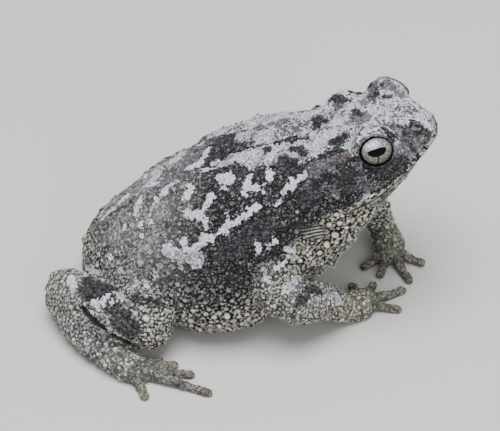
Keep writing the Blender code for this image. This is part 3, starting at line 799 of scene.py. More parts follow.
def camera_axes():
    """The camera's ways to the right, up and ahead."""
    azimuth, elevation, roll = (math.radians(a) for a in (CAMERA_AZIMUTH, CAMERA_ELEVATION, CAMERA_ROLL))
    reach = math.cos(elevation)
    ahead = np.array((math.sin(azimuth) * reach, math.cos(azimuth) * reach, -math.sin(elevation)))
    level = np.array((math.cos(azimuth), -math.sin(azimuth), 0))
    steep = np.cross(level, ahead)
    right = math.cos(roll) * level - math.sin(roll) * steep
    up = math.sin(roll) * level + math.cos(roll) * steep
    return right, up, ahead


def pixel_ray(pixel):
    """The way from the camera through a pixel of the photograph."""
    right, up, ahead = camera_axes()
    across, down = pixel[0] - PHOTO_WIDTH / 2, pixel[1] - PHOTO_HEIGHT / 2
    return Vector(ahead + right * across / LENS_IN_PIXELS - up * down / LENS_IN_PIXELS).normalized()


def to_pixels(points):
    right, up, ahead = camera_axes()
    away = points - CAMERA_PLACE
    depth = away @ ahead
    across = PHOTO_WIDTH / 2 + LENS_IN_PIXELS * (away @ right) / depth
    return across, PHOTO_HEIGHT / 2 - LENS_IN_PIXELS * (away @ up) / depth


def points_along(path, step):
    """Points along a path, at most a step apart."""
    samples = [path[0]]
    for start, end in zip(path, path[1:]):
        count = max(1, int(np.linalg.norm(end - start) / step))
        samples += [start + (end - start) * (k + 1) / count for k in range(count)]
    return samples


class Surface:
    """The skin's points and normals, with what finds them: by nearness, and by the camera's rays."""

    def __init__(self, skin):
        self.points = points_of(skin)
        self.normals = normals_of(skin)
        self.near = KDTree(len(self.points))
        for index, point in enumerate(self.points):
            self.near.insert(point, index)
        self.near.balance()
        faces = [tuple(face.vertices) for face in skin.data.polygons]
        self.tree = BVHTree.FromPolygons([Vector(point) for point in self.points], faces)
        self.hidden = self.normals @ camera_axes()[2] > HIDDEN_LEAN

    def seen_at(self, pixels):
        """The points of the skin that the camera sees at these pixels."""
        hits = [self.tree.ray_cast(Vector(CAMERA_PLACE), pixel_ray(pixel))[0] for pixel in pixels]
        return [np.array(hit) for hit in hits if hit is not None]

    def strokes(self, name):
        """How many millimetres each point is inside the strokes. Mirrored ones reach hidden points only."""
        rng = np.random.default_rng(STROKE_SEED)
        field = np.full(len(self.hidden), FAR_OUTSIDE)
        for half_width, *pixels in STROKES[name]:
            seen = self.seen_at(zip(pixels[::2], pixels[1::2]))
            if not seen:
                continue
            radius = half_width / PIXELS_PER_MM
            mirrored = [np.array(self.tree.find_nearest(Vector(on_side(point, LEFT)))[0]) for point in seen]
            for path, on_hidden in ((seen, False), (mirrored, True)):
                for sample in points_along(path, 0.5 * radius + 0.1):
                    swollen = radius * (1 + LUMPS * rng.uniform(-1, 1))
                    middle = Vector(sample + rng.normal(0, LUMPS * radius / 3, 3))
                    for _, index, distance in self.near.find_range(middle, swollen + 1.0):
                        if self.hidden[index] or not on_hidden:
                            field[index] = max(field[index], swollen - distance)
        return field


def limb_share(points, paths, placing, reach, soft):
    share = np.zeros(len(points))
    for path in paths:
        share = np.maximum(share, nearness(points, path, reach, soft))
        share = np.maximum(share, nearness(points, to_left(path, *placing), reach, soft))
    return share


def mouth_place(points):
    """How far each point is above the line of the mouth, and 1 at the jaws, 0 behind their corner."""
    line = spline(MOUTH_LINE, np.linspace(0, len(MOUTH_LINE) - 1, 60))[::-1]
    level = np.interp(points[:, 0], line[:, 0], line[:, 1])
    lean = np.interp(points[:, 0], line[:, 0], np.gradient(line[:, 1], line[:, 0]))
    ahead, higher = points[:, 0] - MOUTH_CORNER[0], points[:, 2] - MOUTH_CORNER[1]
    jaws = smooth_step(ahead / 0.8) * smooth_step(higher / 2)
    return (points[:, 2] - level) / np.sqrt(1 + lean**2), jaws


def eardrum_share(points):
    share = np.zeros(len(points))
    for side in SIDES:
        away = distance_to(points, on_side(EARDRUM, side)) / EARDRUM_RADIUS
        share = np.maximum(share, smooth_step((1.15 - away) / 0.25))
    return share


def lid_share(points):
    share = np.zeros(len(points))
    for side in SIDES:
        rim = eye_oval(side, RIM_LEVEL, 1.0, CLOSED_TURN)
        share = np.maximum(share, nearness(points, rim, 0.35, 0.6))
    return share


def regions(surface):
    """Weights from 0 to 1 of the kinds of skin over the body."""
    points = surface.points
    x, _, z = points.T
    facing_up = surface.normals[:, 2]
    kinds = {}
    kinds["head"] = smooth_step((x + 0.35 * (z - 24) - 14.5) / 2.5) * smooth_step((z - 19) / 3)
    kinds["hind"] = limb_share(points, (THIGH[1:], SHANK, TARSUS), LEFT_HIND_LEG, 5.0, 1.2)
    kinds["hind"] *= smooth_step((-8.0 - x) / 3) * smooth_step((11.5 - z) / 2.5)
    thigh = limb_share(points, (THIGH[1:],), LEFT_HIND_LEG, 4.6, 0.8)
    kinds["shank"] = limb_share(points, (SHANK, TARSUS), LEFT_HIND_LEG, 5.0, 1.2) * (1 - thigh)
    kinds["fore"] = limb_share(points, (UPPER_ARM[1:], FOREARM), LEFT_FORELEG, 4.2, 1.2)
    toe_tips, finger_tips = digit_tips(TOE_ROOT, TOES), digit_tips(FINGER_ROOT, FINGERS)
    toes = limb_share(points, [(TOE_ROOT, tip) for tip in toe_tips], LEFT_HIND_LEG, 1.8, 1.0)
    kinds["foot"] = np.maximum(limb_share(points, (SOLE,), LEFT_HIND_LEG, 3.0, 2.0), toes)
    fingers = [(FINGER_ROOT, tip) for tip in finger_tips]
    kinds["hand"] = limb_share(points, [PALM, *fingers], LEFT_HAND, 2.4, 1.0)
    toe_ends = limb_share(points, [(tip, tip) for tip in toe_tips], LEFT_HIND_LEG, 1.2, 1.6)
    finger_ends = limb_share(points, [(tip, tip) for tip in finger_tips], LEFT_HAND, 1.2, 1.6)
    kinds["tip"] = np.maximum(toe_ends, finger_ends)
    feet = np.maximum(kinds["hand"], kinds["foot"])
    kinds["under"] = smooth_step((0.15 - facing_up) / 0.7) * smooth_step((13 - z) / 8) * (1 - feet)
    beneath = smooth_step((x - 7) / 3) * smooth_step((-0.1 - facing_up) / 0.5)
    beside = smooth_step(surface.strokes("throat") / 1.5 + 0.5)
    kinds["throat"] = np.maximum(beneath, beside) * (1 - kinds["fore"]) * (1 - feet)
    kinds["flank"] = smooth_step((16 - z) / 9) * (1 - kinds["hind"]) * (1 - kinds["fore"]) * (1 - feet)
    kinds["rump"] = smooth_step((-3 - x) / 14) * (1 - kinds["under"]) * (1 - 0.7 * kinds["flank"])
    kinds["drum"] = eardrum_share(points)
    kinds["lids"] = lid_share(points)
    kinds["shaded_fold"] = smooth_step(0.5 + surface.strokes("shaded_fold") / 0.6)
    return kinds


def scatter_tubercles(surface, kinds):
    """Points, radii and paleness of the small warts: a few larger ones first, then grains between them."""
    points, near = surface.points, surface.near
    low = np.maximum(kinds["flank"], kinds["throat"])
    legs = np.maximum(kinds["hind"], kinds["fore"]) * (1 - low)
    smooth_skin = np.maximum(np.maximum(kinds["hand"], kinds["foot"]), kinds["drum"])
    head = kinds["head"] * (1 - kinds["throat"])
    rng = np.random.default_rng(TUBERCLE_SEED)
    taken = np.zeros(len(points), bool)
    chosen, radii, tones = [], [], []
    # Each pass: radius, how many radii apart, paleness, and the share of places that are tried.
    larger = (
        0.34 + 0.16 * kinds["flank"] + 0.08 * kinds["throat"] - 0.02 * legs - 0.12 * head,
        2.8 - 0.6 * kinds["flank"] - 0.8 * kinds["throat"] - 0.4 * legs,
        0.40 + 0.55 * low + 0.55 * legs + 0.2 * kinds["rump"],
        0.9,
    )
    grains = (0.20 + 0.05 * low + 0.03 * legs, 1.8 - 0.1 * low, 0.20 + 0.45 * low + 0.50 * legs, 0.8)
    for radius, apart, paleness, share in (larger, grains):
        radius = radius * np.exp(rng.normal(0.0, 0.22, len(points)))
        keep = rng.random(len(points)) < share * (1 - 0.93 * smooth_skin)
        tone = paleness * rng.uniform(0.45, 1.15, len(points)) + 0.5 * rng.random(len(points)) ** 7
        for index in rng.permutation(len(points)):
            if taken[index] or not keep[index]:
                continue
            for _, other, _ in near.find_range(Vector(points[index]), apart[index] * radius[index]):
                taken[other] = True
            chosen.append(index)
            radii.append(radius[index])
            tones.append(min(tone[index], 1.0))
        taken[:] = False
        for index, radius_here in zip(chosen, radii):
            for _, other, _ in near.find_range(Vector(points[index]), radius_here * 1.25):
                taken[other] = True
    return chosen, radii, tones


def creases(surface):
    """Where the fine creases are, from 0 to 1, and their ridges and furrows from 1 to -1, on both sides."""
    points = surface.points
    middle = surface.seen_at([CREASE_MIDDLE])[0]
    right = points.copy()
    right[:, 1] = -np.abs(right[:, 1])
    across, down = to_pixels(right)
    away_across = (across - CREASE_MIDDLE[0]) / CREASE_REACH[0]
    away = np.hypot(away_across, (down - CREASE_MIDDLE[1]) / CREASE_REACH[1])
    beside = distance_to(right, middle) < 8
    wavy = uneven(points, 2.6, 1.4)
    share = smooth_step(1.5 * (1 - away + 0.25 * uneven(points + 20, 1.0, 1.0))) * beside
    return share, np.cos((down + wavy + CREASE_SLANT * across) * 2 * math.pi / CREASE_SPACING)


def add_attribute(obj, name, values):
    """Gives each point a number, or a colour where the values have three columns."""
    kind = "FLOAT" if values.ndim == 1 else "FLOAT_COLOR"
    layer = obj.data.attributes.new(name, kind, "POINT")
    if kind == "FLOAT":
        layer.data.foreach_set("value", np.ascontiguousarray(values, np.float32))
    else:
        padded = np.column_stack([values, np.ones(len(values))])
        layer.data.foreach_set("color", np.ascontiguousarray(padded, np.float32).ravel())


def main_forms(points):
    """How far the glands, bones, eardrums, nostrils and lips lift the skin."""
    lift = ridge(points, *BACK_GROOVE)
    for side in SIDES:
        for path, radius, height in FORMS.values():
            lift += ridge(points, on_side(path, side), radius, height)
        drum = distance_to(points, on_side(EARDRUM, side)) / EARDRUM_RADIUS
        lift += EARDRUM_RIM * bell(drum, 1.05, 0.16) - EARDRUM_DEPTH * smooth_step(1.6 * (1 - drum))
        nostril = distance_to(points, on_side(NOSTRIL, side))
        lift -= NOSTRIL_DEPTH * bell(nostril, 0, NOSTRIL_RADIUS)
    height, jaws = mouth_place(points)
    lift -= MOUTH_DEPTH * bell(height, 0, 0.20) * jaws
    lift += UPPER_LIP_HEIGHT * bell(height, 0.5, 0.45) * jaws
    lift -= LOWER_JAW_DEPTH * smooth_step((0.05 - height) / 0.5) * smooth_step((height + 4.5) / 4) * jaws
    lift += uneven(points, 3.0, 0.20) * smooth_step((points[:, 2] - 3) / 3)
    return lift


def small_forms(surface, kinds):
    """How far the warts lift each point, how high it is on its tubercle, and how pale that is."""
    points, near = surface.points, surface.near
    lift = np.zeros(len(points))
    for centre, radius in zip(*large_warts()):
        for _, index, distance in near.find_range(Vector(centre), radius * 1.3):
            rise = float(smooth_step(1.2 * (1 - distance / radius)))
            lift[index] = max(lift[index], WART_HEIGHT * radius * rise)
    lift *= 0.75 - 0.35 * smooth_step(surface.normals[:, 2] / 0.6)
    small, dome, paleness = np.zeros((3, len(points)))
    for index, radius, tone in zip(*scatter_tubercles(surface, kinds)):
        for _, other, distance in near.find_range(Vector(points[index]), radius):
            rise = (1 - (distance / radius) ** 2) ** 0.8
            small[other] = max(small[other], TUBERCLE_HEIGHT * radius * rise)
            if rise > dome[other]:
                dome[other] = rise
                paleness[other] = tone
    lift += uneven(points, 1.1, 0.16) * (1 - np.maximum(kinds["hand"], kinds["foot"]) * 0.6)
    lift += uneven(points + 50, 0.55, 0.08)
    return lift + small, dome, paleness


def build_skin():
    skin = raw_flesh()
    points = points_of(skin)
    joins = np.full(len(points), LEAST_SMOOTHING)
    for centre, reach, placing in JOINS:
        for side in SIDES:
            away = distance_to(points, place_limb(centre, side, placing))
            joins = np.maximum(joins, smooth_step(1.4 * (1 - away / reach)))
    move_points(skin, smooth(skin, points, joins, SMOOTHING_ROUNDS))
    points, normals = points_of(skin), normals_of(skin)
    move_points(skin, points + normals * main_forms(points)[:, None])
    cut_eyes(skin)
    move_points(skin, thin_lids(points_of(skin)))

    surface = Surface(skin)
    kinds = regions(surface)
    height, jaws = mouth_place(surface.points)
    creased, crease = creases(surface)
    free = (1 - kinds["lids"]) * (1 - jaws * bell(height, 0.2, 0.6) * 0.9) * (1 - creased)
    lift, dome, paleness = small_forms(surface, kinds)
    lift = lift * free + CREASE_HEIGHT * creased * crease - FOLD_DEPTH * kinds["shaded_fold"]
    dome *= 1 - kinds["shaded_fold"]
    off_floor = smooth_step((surface.points[:, 2] - 0.15) / 0.5)
    move_points(skin, surface.points + surface.normals * (lift * off_floor)[:, None])
    paint_skin(skin, surface, kinds, height, jaws)
    add_attribute(skin, "dome", np.maximum(dome * free, creased * (0.45 + 0.4 * crease)))
    add_attribute(skin, "paleness", np.where(creased > 0.3, 0.62, paleness))
    return skin


def paint_skin(skin, surface, kinds, height, jaws):
    """Gives each point of the skin its ground colour and how far it lies inside each kind of mark."""
    fields = {name: surface.strokes(name) for name in PAINTED}
    upper_lip = 0.27 - np.abs(height - 0.36)
    lower_lip = 0.15 - np.abs(height + 0.36)
    lips = np.where(jaws > 0.5, np.maximum(upper_lip, lower_lip), FAR_OUTSIDE)
    fields["cream"] = np.maximum(fields["cream"], lips)
    # Painted shade in the slit of the mouth and in the nostrils.
    slit_shade = jaws * bell(height, -0.04, 0.22)
    for side in SIDES:
        nostril = distance_to(surface.points, on_side(NOSTRIL, side))
        slit_shade = np.maximum(slit_shade, smooth_step(2.2 - nostril / (NOSTRIL_RADIUS * 0.6)))

    ground = np.tile(DARK_GROUND, (len(surface.points), 1))
    for colour, share in (
        (LEG_GROUND, kinds["hind"]),
        (SHANK_GROUND, kinds["shank"]),
        (ARM_GROUND, kinds["fore"] * 0.9),
        (UNDERSIDE, kinds["under"] * 0.8),
        (UNDERSIDE, kinds["throat"] * 0.4),
        (HAND_SKIN, kinds["hand"]),
        (FOOT_SKIN, kinds["foot"]),
        (DIGIT_TIP, kinds["tip"] * 0.8),
        (EARDRUM_SKIN, kinds["drum"] * 0.8),
        # The ridge behind the eye: brown, with a painted highlight along its top.
        (RIDGE_BROWN_HIGHLIGHT, smooth_step(0.5 + fields.pop("brown") / 0.7) * 0.85),
        # Painted shadow in the fold between the thigh and the shank.
        (NEAR_BLACK, kinds["shaded_fold"] * 0.85),
        (UNDERSIDE, jaws * smooth_step((-0.1 - height) / 0.3) * 0.6),
        # Painted shade in the mouth's slit and the nostrils.
        (NEAR_BLACK, slit_shade),
    ):
        ground += (np.array(colour) - ground) * np.clip(share, 0, 1)[:, None]

    low = np.maximum(kinds["flank"], np.maximum(kinds["throat"], kinds["under"]))
    limbs = np.maximum(kinds["hind"], kinds["fore"])
    fields["ground"] = ground
    fields["plain"] = (1 - np.maximum(kinds["drum"] * 0.35, kinds["lids"] * 0.3)) * (1 - slit_shade)
    fields["low"] = low
    fields["rump"] = kinds["rump"] * (1 - kinds["hind"]) * (1 - kinds["foot"])
    fields["warm"] = np.maximum(low, np.maximum(0.85 * limbs, 0.5 * kinds["rump"]))
    for name, values in fields.items():
        add_attribute(skin, name, values)


class Nodes:
    """A material's node tree, with short calls for the nodes that the toad needs."""

    def __init__(self, name):
        self.material = bpy.data.materials.new(name)
        self.material.use_nodes = True
        self.tree = self.material.node_tree

    def fill(self, node, inputs):
        """Gives a node its inputs, by name or number: a link, a colour or a value for each."""
        for name, value in inputs.items():
            if hasattr(value, "is_output"):
                self.tree.links.new(value, node.inputs[name])
            else:
                node.inputs[name].default_value = (*value, 1) if isinstance(value, tuple) else value

    def node(self, kind, inputs, **settings):
        node = self.tree.nodes.new("ShaderNode" + kind)
        for name, value in settings.items():
            setattr(node, name, value)
        self.fill(node, inputs)
        return node

    def shade(self, inputs):
        """Gives the material's shader its inputs."""
        self.fill(self.tree.nodes["Principled BSDF"], inputs)

    def attribute(self, name, output="Fac"):
        return self.node("Attribute", {}, attribute_name=name).outputs[output]

    def place(self):
        """The point's place in millimetres."""
        metres = self.node("TexCoord", {}).outputs["Object"]
        return self.node("VectorMath", {0: metres, "Scale": 1 / MM}, operation="SCALE").outputs[0]

    def noise(self, size, detail=3.0, roughness=0.6):
        """Noise from 0 to 1 whose blotches are about this many millimetres across."""
        inputs = {"Vector": self.place(), "Scale": 1 / size, "Detail": detail, "Roughness": roughness}
        return self.node("TexNoise", inputs).outputs["Fac"]

    def grains(self, size):
        """Grains this many millimetres apart: the distance from the nearest middle, and its chance tone."""
        node = self.node("TexVoronoi", {"Vector": self.place(), "Scale": 1 / size})
        return node.outputs["Distance"], self.node("SeparateColor", {0: node.outputs["Color"]}).outputs[0]

    def maths(self, operation, first, second):
        return self.node("Math", {0: first, 1: second}, operation=operation).outputs[0]

    def times(self, first, second):
        return self.maths("MULTIPLY", first, second)

    def plus(self, first, second):
        return self.maths("ADD", first, second)

    def minus(self, first, second):
        return self.maths("SUBTRACT", first, second)

    def ramp(self, value, low, high, to_low=0.0, to_high=1.0):
        """A smooth step from one value to another while the input goes from low to high."""
        inputs = {"Value": value, "From Min": low, "From Max": high, "To Min": to_low, "To Max": to_high}
        return self.node("MapRange", inputs, interpolation_type="SMOOTHSTEP").outputs["Result"]

    def mix(self, share, first, second):
        node = self.node("Mix", {"Factor": share}, data_type="RGBA")
        colours = [number for number, socket in enumerate(node.inputs) if socket.type == "RGBA"]
        self.fill(node, dict(zip(colours, (first, second))))
        return next(socket for socket in node.outputs if socket.type == "RGBA")

    def layered(self, colour, *layers):
        """Lays colours over a first one, each by its share."""
        for share, paint in layers:
            colour = self.mix(share, colour, paint)
        return colour

    def bump(self, height, depth, strength, below=None):
        """Relief of this many millimetres, over the one below if there is one."""
        inputs = {"Height": height, "Distance": depth * MM, "Strength": strength}
        if below is not None:
            inputs["Normal"] = below
        return self.node("Bump", inputs).outputs["Normal"]


class SkinNodes(Nodes):
    """The skin's nodes, with the grains, their grooves, painted shade in the grooves and shares that its
    layers have in common.
    """

    def __init__(self):
        super().__init__("toad_skin")
        self.grain_distance, self.grain = self.grains(GRAIN_SIZE)
        self.speck_distance, self.speck = self.grains(SPECK_SIZE)
        ragged = self.times(self.minus(self.noise(1.2, 2.0), 0.5), 1.3)
        for tone, reach in ((self.grain, 0.50), (self.speck, 0.24)):
            ragged = self.plus(ragged, self.times(self.minus(tone, 0.5), reach))
        self.ragged = ragged
        self.mottle = self.noise(1.3, 4.0, 0.65)
        self.gap = self.ramp(self.grain_distance, 0.38, 0.66)
        self.narrow_gap = self.ramp(self.speck_distance, 0.40, 0.68)
        # Painted shade in the grooves between the grains.
        self.groove_shade = self.maths("MAXIMUM", self.times(self.gap, 0.9), self.times(self.narrow_gap, 0.75))
        self.plain = self.attribute("plain")
        self.rump = self.attribute("rump")

    def on_plain(self, share):
        return self.times(share, self.plain)

    def inside(self, name):
        """1 inside a kind of mark, with a ragged outline."""
        reach = self.plus(self.attribute(name), self.ragged)
        return self.on_plain(self.ramp(reach, -EDGE_OF_MARK, EDGE_OF_MARK))

    def flecks(self, low, high, reach, amount):
        """Dots of this reach and amount, at the middles of the fine grains whose tone is high."""
        middles = self.ramp(self.speck_distance, 0.25, reach, amount, 0.0)
        return self.times(self.ramp(self.speck, low, high), middles)


def ground_skin(made):
    """The ground colours of the body, broken by dark grains, painted shade in the grooves between grains,
    grey flecks and a few pale flecks that are painted glints.
    """
    return made.layered(
        made.attribute("ground", "Color"),
        (made.on_plain(made.ramp(made.grain, 0.1, 0.7, 0.5, 0.0)), NEAR_BLACK),
        (made.on_plain(made.ramp(made.mottle, 0.36, 0.56, 0.45, 0.0)), NEAR_BLACK),
        (made.on_plain(made.flecks(0.6, 1.0, 0.55, 0.5)), TIP_GREY),
        # Painted shade in the grooves between grains.
        (made.on_plain(made.times(made.groove_shade, 0.65)), NEAR_BLACK),
        # Painted glints: a few bright flecks on the dark ground.
        (made.on_plain(made.flecks(0.93, 0.97, 0.5, 0.4)), PALE_SKIN),
    )


def rump_skin(made):
    """The dusty, brown and lilac skin of the rump."""
    return made.layered(
        RUMP_GROUND,
        (made.ramp(made.noise(1.5), 0.44, 0.60), RUMP_LILAC),
        (made.ramp(made.noise(2.3, 4.0, 0.65), 0.40, 0.56, 0.8, 0.0), RUMP_BROWN),
        (made.ramp(made.rump, 0.5, 1.0, 0.95, 0.0), RUMP_BROWN),
        (made.ramp(made.speck, 0.14, 0.30, 0.75, 0.0), SPECK),
        (made.ramp(made.speck, 0.82, 0.97, 0.0, 0.6), PALE_SKIN),
        # Painted shade in the grooves between grains.
        (made.times(made.groove_shade, 0.55), SPECK),
    )


def pale_skin(made):
    """The white and lilac grains of the pale areas, with dark specks that crowd in patches."""
    patches = made.noise(3.4)
    dark_share = made.ramp(patches, 0.46, 0.64, 0.02, 0.38)
    dark_grains = made.ramp(made.minus(made.grain, dark_share), -0.05, 0.04, 0.85, 0.0)
    speck_share = made.ramp(patches, 0.44, 0.64, 0.07, 0.38)
    specks = made.ramp(made.minus(made.speck, speck_share), -0.04, 0.03, 0.85, 0.0)
    return made.layered(
        PALE_SKIN,
        (made.ramp(made.noise(1.9), 0.47, 0.62, 0.0, 0.45), LILAC_SKIN),
        (made.ramp(patches, 0.48, 0.64, 0.0, 0.2), LILAC_SKIN),
        (made.ramp(made.grain, 0.2, 0.9, 0.15, 0.0), LILAC_SKIN),
        (made.ramp(made.grain, 0.70, 0.95, 0.0, 0.8), BRIGHT_GRAIN),
        (made.maths("MAXIMUM", dark_grains, specks), SPECK),
        # Painted shade in the grooves between grains.
        (made.times(made.groove_shade, 0.5), SPECK),
    )


def grey_skin(made):
    """The grey grains of the areas between the others."""
    return made.layered(
        MIDDLE_GREY,
        (made.ramp(made.grain, 0.3, 0.9), TIP_GREY),
        (made.ramp(made.speck, 0.40, 0.50, 0.85, 0.0), SPECK),
        # Painted shade in the grooves between grains.
        (made.times(made.groove_shade, 0.6), SPECK),
    )


def white_skin(made):
    """The white marks, with painted shade in the grooves between grains; where the marks break up, the darker
    ground shows more in the grooves and some grains are lost.
    """
    grained = made.attribute("grained")
    lost = made.minus(made.speck, made.ramp(grained, -0.3, 0.5, 0.0, 0.13))
    return made.layered(
        LIGHT_SKIN,
        # Painted shade in the grooves, and more of the darker ground between grains where the marks break up.
        (made.times(made.groove_shade, made.ramp(grained, -0.3, 0.5, 0.35, 0.9)), LEG_GROUND),
        (made.ramp(lost, 0.09, 0.15, 0.65, 0.0), LEG_GROUND),
    )


def skin_material():
    made = SkinNodes()
    on_rump = made.ramp(made.plus(made.rump, made.times(made.ragged, 0.35)), 0.05, 0.50)
    pale, dark = made.inside("pale"), made.inside("dark")
    dark_skin = made.mix(made.ramp(made.speck, 0.35, 1.0, 0.08, 0.6), NEAR_BLACK, MIDDLE_GREY)
    dome = made.attribute("dome")
    # Painted shade in the hollows between the tubercles of the flanks, throat and belly.
    crevice_shade = made.times(made.ramp(dome, 0.0, 0.42, 0.90, 0.0), made.attribute("low"))
    # The pale tops of the tubercles: their own cream or grey, and a painted highlight that grows towards each
    # top.
    tip = made.times(made.ramp(dome, 0.12, 0.9), made.attribute("paleness"))
    tip = made.times(tip, made.ramp(made.mottle, 0.35, 0.60, 0.60, 1.0))
    tip = made.times(tip, made.minus(1.0, made.times(pale, 0.9)))
    bare = made.times(made.plain, made.minus(1.0, made.times(dark, 0.92)))
    beside_white = made.ramp(made.plus(made.attribute("light"), made.ragged), -0.34, -0.16, 0.0, 0.6)
    lip_skin = made.mix(made.ramp(made.speck, 0.14, 0.22, 0.7, 0.0), LIP_SKIN, LEG_GROUND)
    colour = made.layered(
        ground_skin(made),
        (made.on_plain(on_rump), rump_skin(made)),
        (pale, pale_skin(made)),
        (made.times(made.inside("grey"), 0.9), grey_skin(made)),
        (dark, dark_skin),
        # Painted shade in the hollows between tubercles.
        (made.on_plain(crevice_shade), NEAR_BLACK),
        # The pale tops of the tubercles, partly painted highlight.
        (made.times(tip, bare), made.mix(made.attribute("warm"), TIP_GREY, CREAM)),
        (made.on_plain(beside_white), NEAR_BLACK),
        (made.inside("light"), white_skin(made)),
        (made.times(made.inside("cream"), made.times(made.plain, 0.9)), lip_skin),
    )
    relief = made.bump(made.times(made.gap, -1.0), 0.13, 0.9)
    relief = made.bump(made.times(made.narrow_gap, -1.0), 0.07, 0.9, relief)
    relief = made.bump(made.noise(0.2, 2.0, 0.7), 0.05, 0.6, relief)
    roughness = made.ramp(made.mottle, 0.3, 0.7, 0.6, 0.8)
    made.shade({"Base Color": colour, "Roughness": roughness, "Specular IOR Level": 0.16, "Normal": relief})
    return made.material


def lid_material():
    made = Nodes("lid_edge")
    colour = made.mix(made.ramp(made.noise(0.5), 0.35, 0.65), LID_BLACK, LID_GREY)
    relief = made.bump(made.noise(0.15, 2.0), 0.03, 0.4)
    made.shade({"Base Color": colour, "Roughness": 0.4, "Normal": relief})
    return made.material


def eye_material():
    """A silvery iris with fine dark veins, painted reflection at its top and painted shade at its rim, a
    black pupil with a line below it, and a black rim.
    """
    made = Nodes("toad_eye")
    rim = made.attribute("rim")
    colour = made.layered(
        IRIS_LOW,
        # Painted reflection of the sky: lighter towards the top.
        (made.ramp(made.attribute("up"), -1.4, 1.2), IRIS_REFLECTED_TOP),
        (made.ramp(made.noise(0.7, 2.0), 0.40, 0.60, 0.45, 0.0), IRIS_VEIN),
        # Painted reflection of the sky: a bright spot at the upper back.
        (made.attribute("painted_reflection"), IRIS_PAINTED_REFLECTION),
        (made.ramp(made.noise(0.28, 5.0, 0.75), 0.42, 0.56, 0.85, 0.0), IRIS_VEIN),
        # Painted shade towards the rim.
        (made.ramp(rim, 0.80, 1.0, 0.0, 0.6), IRIS_RIM_SHADE),
        (made.ramp(rim, 0.97, 1.03), EYE_RIM),
        (made.ramp(made.attribute("pupil"), 0.94, 1.06, 1.0, 0.0), PUPIL_BLACK),
        (made.attribute("line"), LINE_BLACK),
    )
    made.shade({"Base Color": colour, "Roughness": 0.3, "Specular IOR Level": 0.05})
    made.shade({"Coat Weight": 0.15, "Coat Roughness": 0.02})
    return made.material


def build_eye(side, word):
    """The eyeball with its cornea, and where each point lies on the iris, the pupil and the line below it."""
    bm = bmesh.new()
    bmesh.ops.create_icosphere(bm, subdivisions=6, radius=EYEBALL_RADIUS)
    eye = object_of("eyeball_" + word, bm)
    outward, forward, upward = eye_axes(side)
    away = points_of(eye) / EYEBALL_RADIUS
    front = smooth_step((away @ outward - CORNEA_STARTS) / (1 - CORNEA_STARTS))
    points = away * (EYEBALL_RADIUS + CORNEA_HEIGHT * front)[:, None]
    along, up, out = points @ forward, points @ upward - EYE_RAISED, points @ outward
    behind = np.where(out < 0, 9.0, 0.0)
    # How high each point lies across the eye; the iris is painted lighter towards the top as a reflection.
    add_attribute(eye, "up", up)
    # Where the painted reflection of the sky lies, a spot at the upper back of the eye.
    painted_reflection = np.hypot((along + 0.5) / 1.8, (up - 1.2) / 0.85)
    add_attribute(eye, "painted_reflection", 0.9 * smooth_step(1.5 * (1 - painted_reflection)))
    iris = np.hypot((along - IRIS_SHIFT[0]) / IRIS[0], (up - IRIS_SHIFT[1]) / IRIS[1])
    add_attribute(eye, "rim", iris + behind)
    tilt = math.radians(PUPIL_TILT)
    ahead, higher = along - PUPIL_SHIFT[0], up - PUPIL_SHIFT[1]
    across = ahead * math.cos(tilt) + higher * math.sin(tilt)
    above = higher * math.cos(tilt) - ahead * math.sin(tilt)
    flat_top = np.where(above > 0, above * 2.0, above)
    blunt = np.abs(across / PUPIL[0]) ** 2.2 + np.abs(flat_top / PUPIL[1]) ** 2.0
    add_attribute(eye, "pupil", np.sqrt(blunt) + behind)
    middle = LINE_MIDDLE[0] + LINE_SLANT * (above - LINE_MIDDLE[1])
    line = smooth_step((LINE_HALF_WIDTH - np.abs(across - middle)) / 0.06) * (above < LINE_TOP) * (out > 0)
    add_attribute(eye, "line", line)
    move_points(eye, points + on_side(EYE_CENTRE, side))
    return eye


def build_lid_edge(side, word):
    """The smooth edge of the lids, a thin roll of skin round the eye."""
    around, sides = LID_EDGE_STEPS
    centre = on_side(EYE_CENTRE, side)
    oval = eye_oval(side, RIM_LEVEL, 1.0, full_turn(around), grow=LID_EDGE_RADIUS * 0.7) - centre
    oval *= ((EYEBALL_RADIUS + LID_EDGE_OUT) / np.linalg.norm(oval, axis=1))[:, None]
    spin = full_turn(sides)
    rings = []
    for index in range(around):
        tangent = oval[(index + 1) % around] - oval[index - 1]
        tangent /= np.linalg.norm(tangent)
        out = oval[index] / np.linalg.norm(oval[index])
        circle = np.outer(np.cos(spin), np.cross(tangent, out)) + np.outer(np.sin(spin), out)
        rings.append(centre + oval[index] + circle * LID_EDGE_RADIUS)
    return face_out(object_from("lid_edge_" + word, np.vstack(rings), tube_faces(around, sides, closed=True)))


def frame_shift():
    """What takes the toad's millimetres to the frame's, found from the right eye of the solids."""
    eye = build_eye(RIGHT, "probe")
    own_low = points_of(eye).min(axis=0)
    bpy.data.objects.remove(eye)
    return np.array(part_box("eye_right")[0]) / MM - own_low


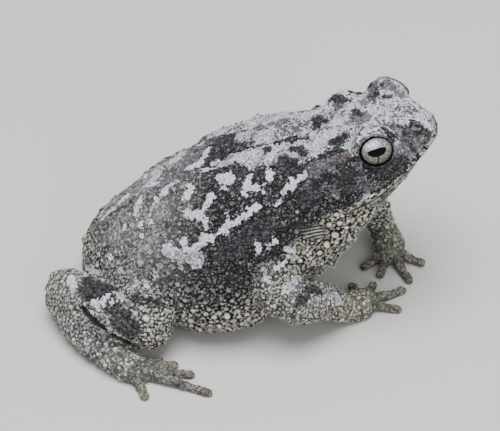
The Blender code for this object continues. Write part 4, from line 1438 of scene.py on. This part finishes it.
def set_in_frame(piece, material, shift, replaced=()):
    """Gives a piece its material, takes it to the frame's metres, and says what it rides on and replaces."""
    piece.data.materials.clear()
    piece.data.materials.append(material)
    move_points(piece, (points_of(piece) + shift) * MM)
    for face in piece.data.polygons:
        face.use_smooth = True
    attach(piece, "root")
    if replaced:
        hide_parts(*replaced)


def add_camera(shift):
    right, up, ahead = camera_axes()
    data = bpy.data.cameras.new("camera")
    data.sensor_fit = "HORIZONTAL"
    data.sensor_width = SENSOR_WIDTH
    data.lens = LENS
    data.clip_start = 0.01
    data.clip_end = 20.0
    camera = add_object("camera", data)
    place = (CAMERA_PLACE + shift) * MM
    rows = np.column_stack([right, up, -ahead, place]).tolist()
    camera.matrix_world = Matrix([*rows, [0, 0, 0, 1]])
    bpy.context.scene.camera = camera


def add_light(name, place, size, power, in_reflections):
    data = bpy.data.lights.new(name, "AREA")
    data.shape = "DISK"
    data.size = size
    data.energy = power
    light = add_object(name, data)
    light.visible_glossy = in_reflections
    light.location = place
    light.rotation_euler = (-Vector(place)).to_track_quat("-Z", "Y").to_euler()


def add_stage():
    corners = [(x * FLOOR_REACH, y * FLOOR_REACH, 0) for x, y in ((-1, -1), (1, -1), (1, 1), (-1, 1))]
    floor = object_from("floor", corners, [(0, 1, 2, 3)])
    made = Nodes("floor_paper")
    made.shade({"Base Color": FLOOR_PAPER, "Roughness": 0.9})
    floor.data.materials.append(made.material)
    world = bpy.data.worlds.new("studio")
    world.use_nodes = True
    world.node_tree.nodes["Background"].inputs["Color"].default_value = (*STUDIO_WHITE, 1)
    world.node_tree.nodes["Background"].inputs["Strength"].default_value = STUDIO_STRENGTH
    bpy.context.scene.world = world
    for lamp in LAMPS:
        add_light(*lamp)


def main():
    shift = frame_shift()
    flesh_nodes = [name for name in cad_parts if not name.startswith("eye")]
    set_in_frame(build_skin(), skin_material(), shift, flesh_nodes)
    eye_look, lid_look = eye_material(), lid_material()
    for side, word in ((RIGHT, "right"), (LEFT, "left")):
        set_in_frame(build_eye(side, word), eye_look, shift, ["eye_" + word])
        set_in_frame(build_lid_edge(side, word), lid_look, shift)
    add_camera(shift)
    add_stage()


main()
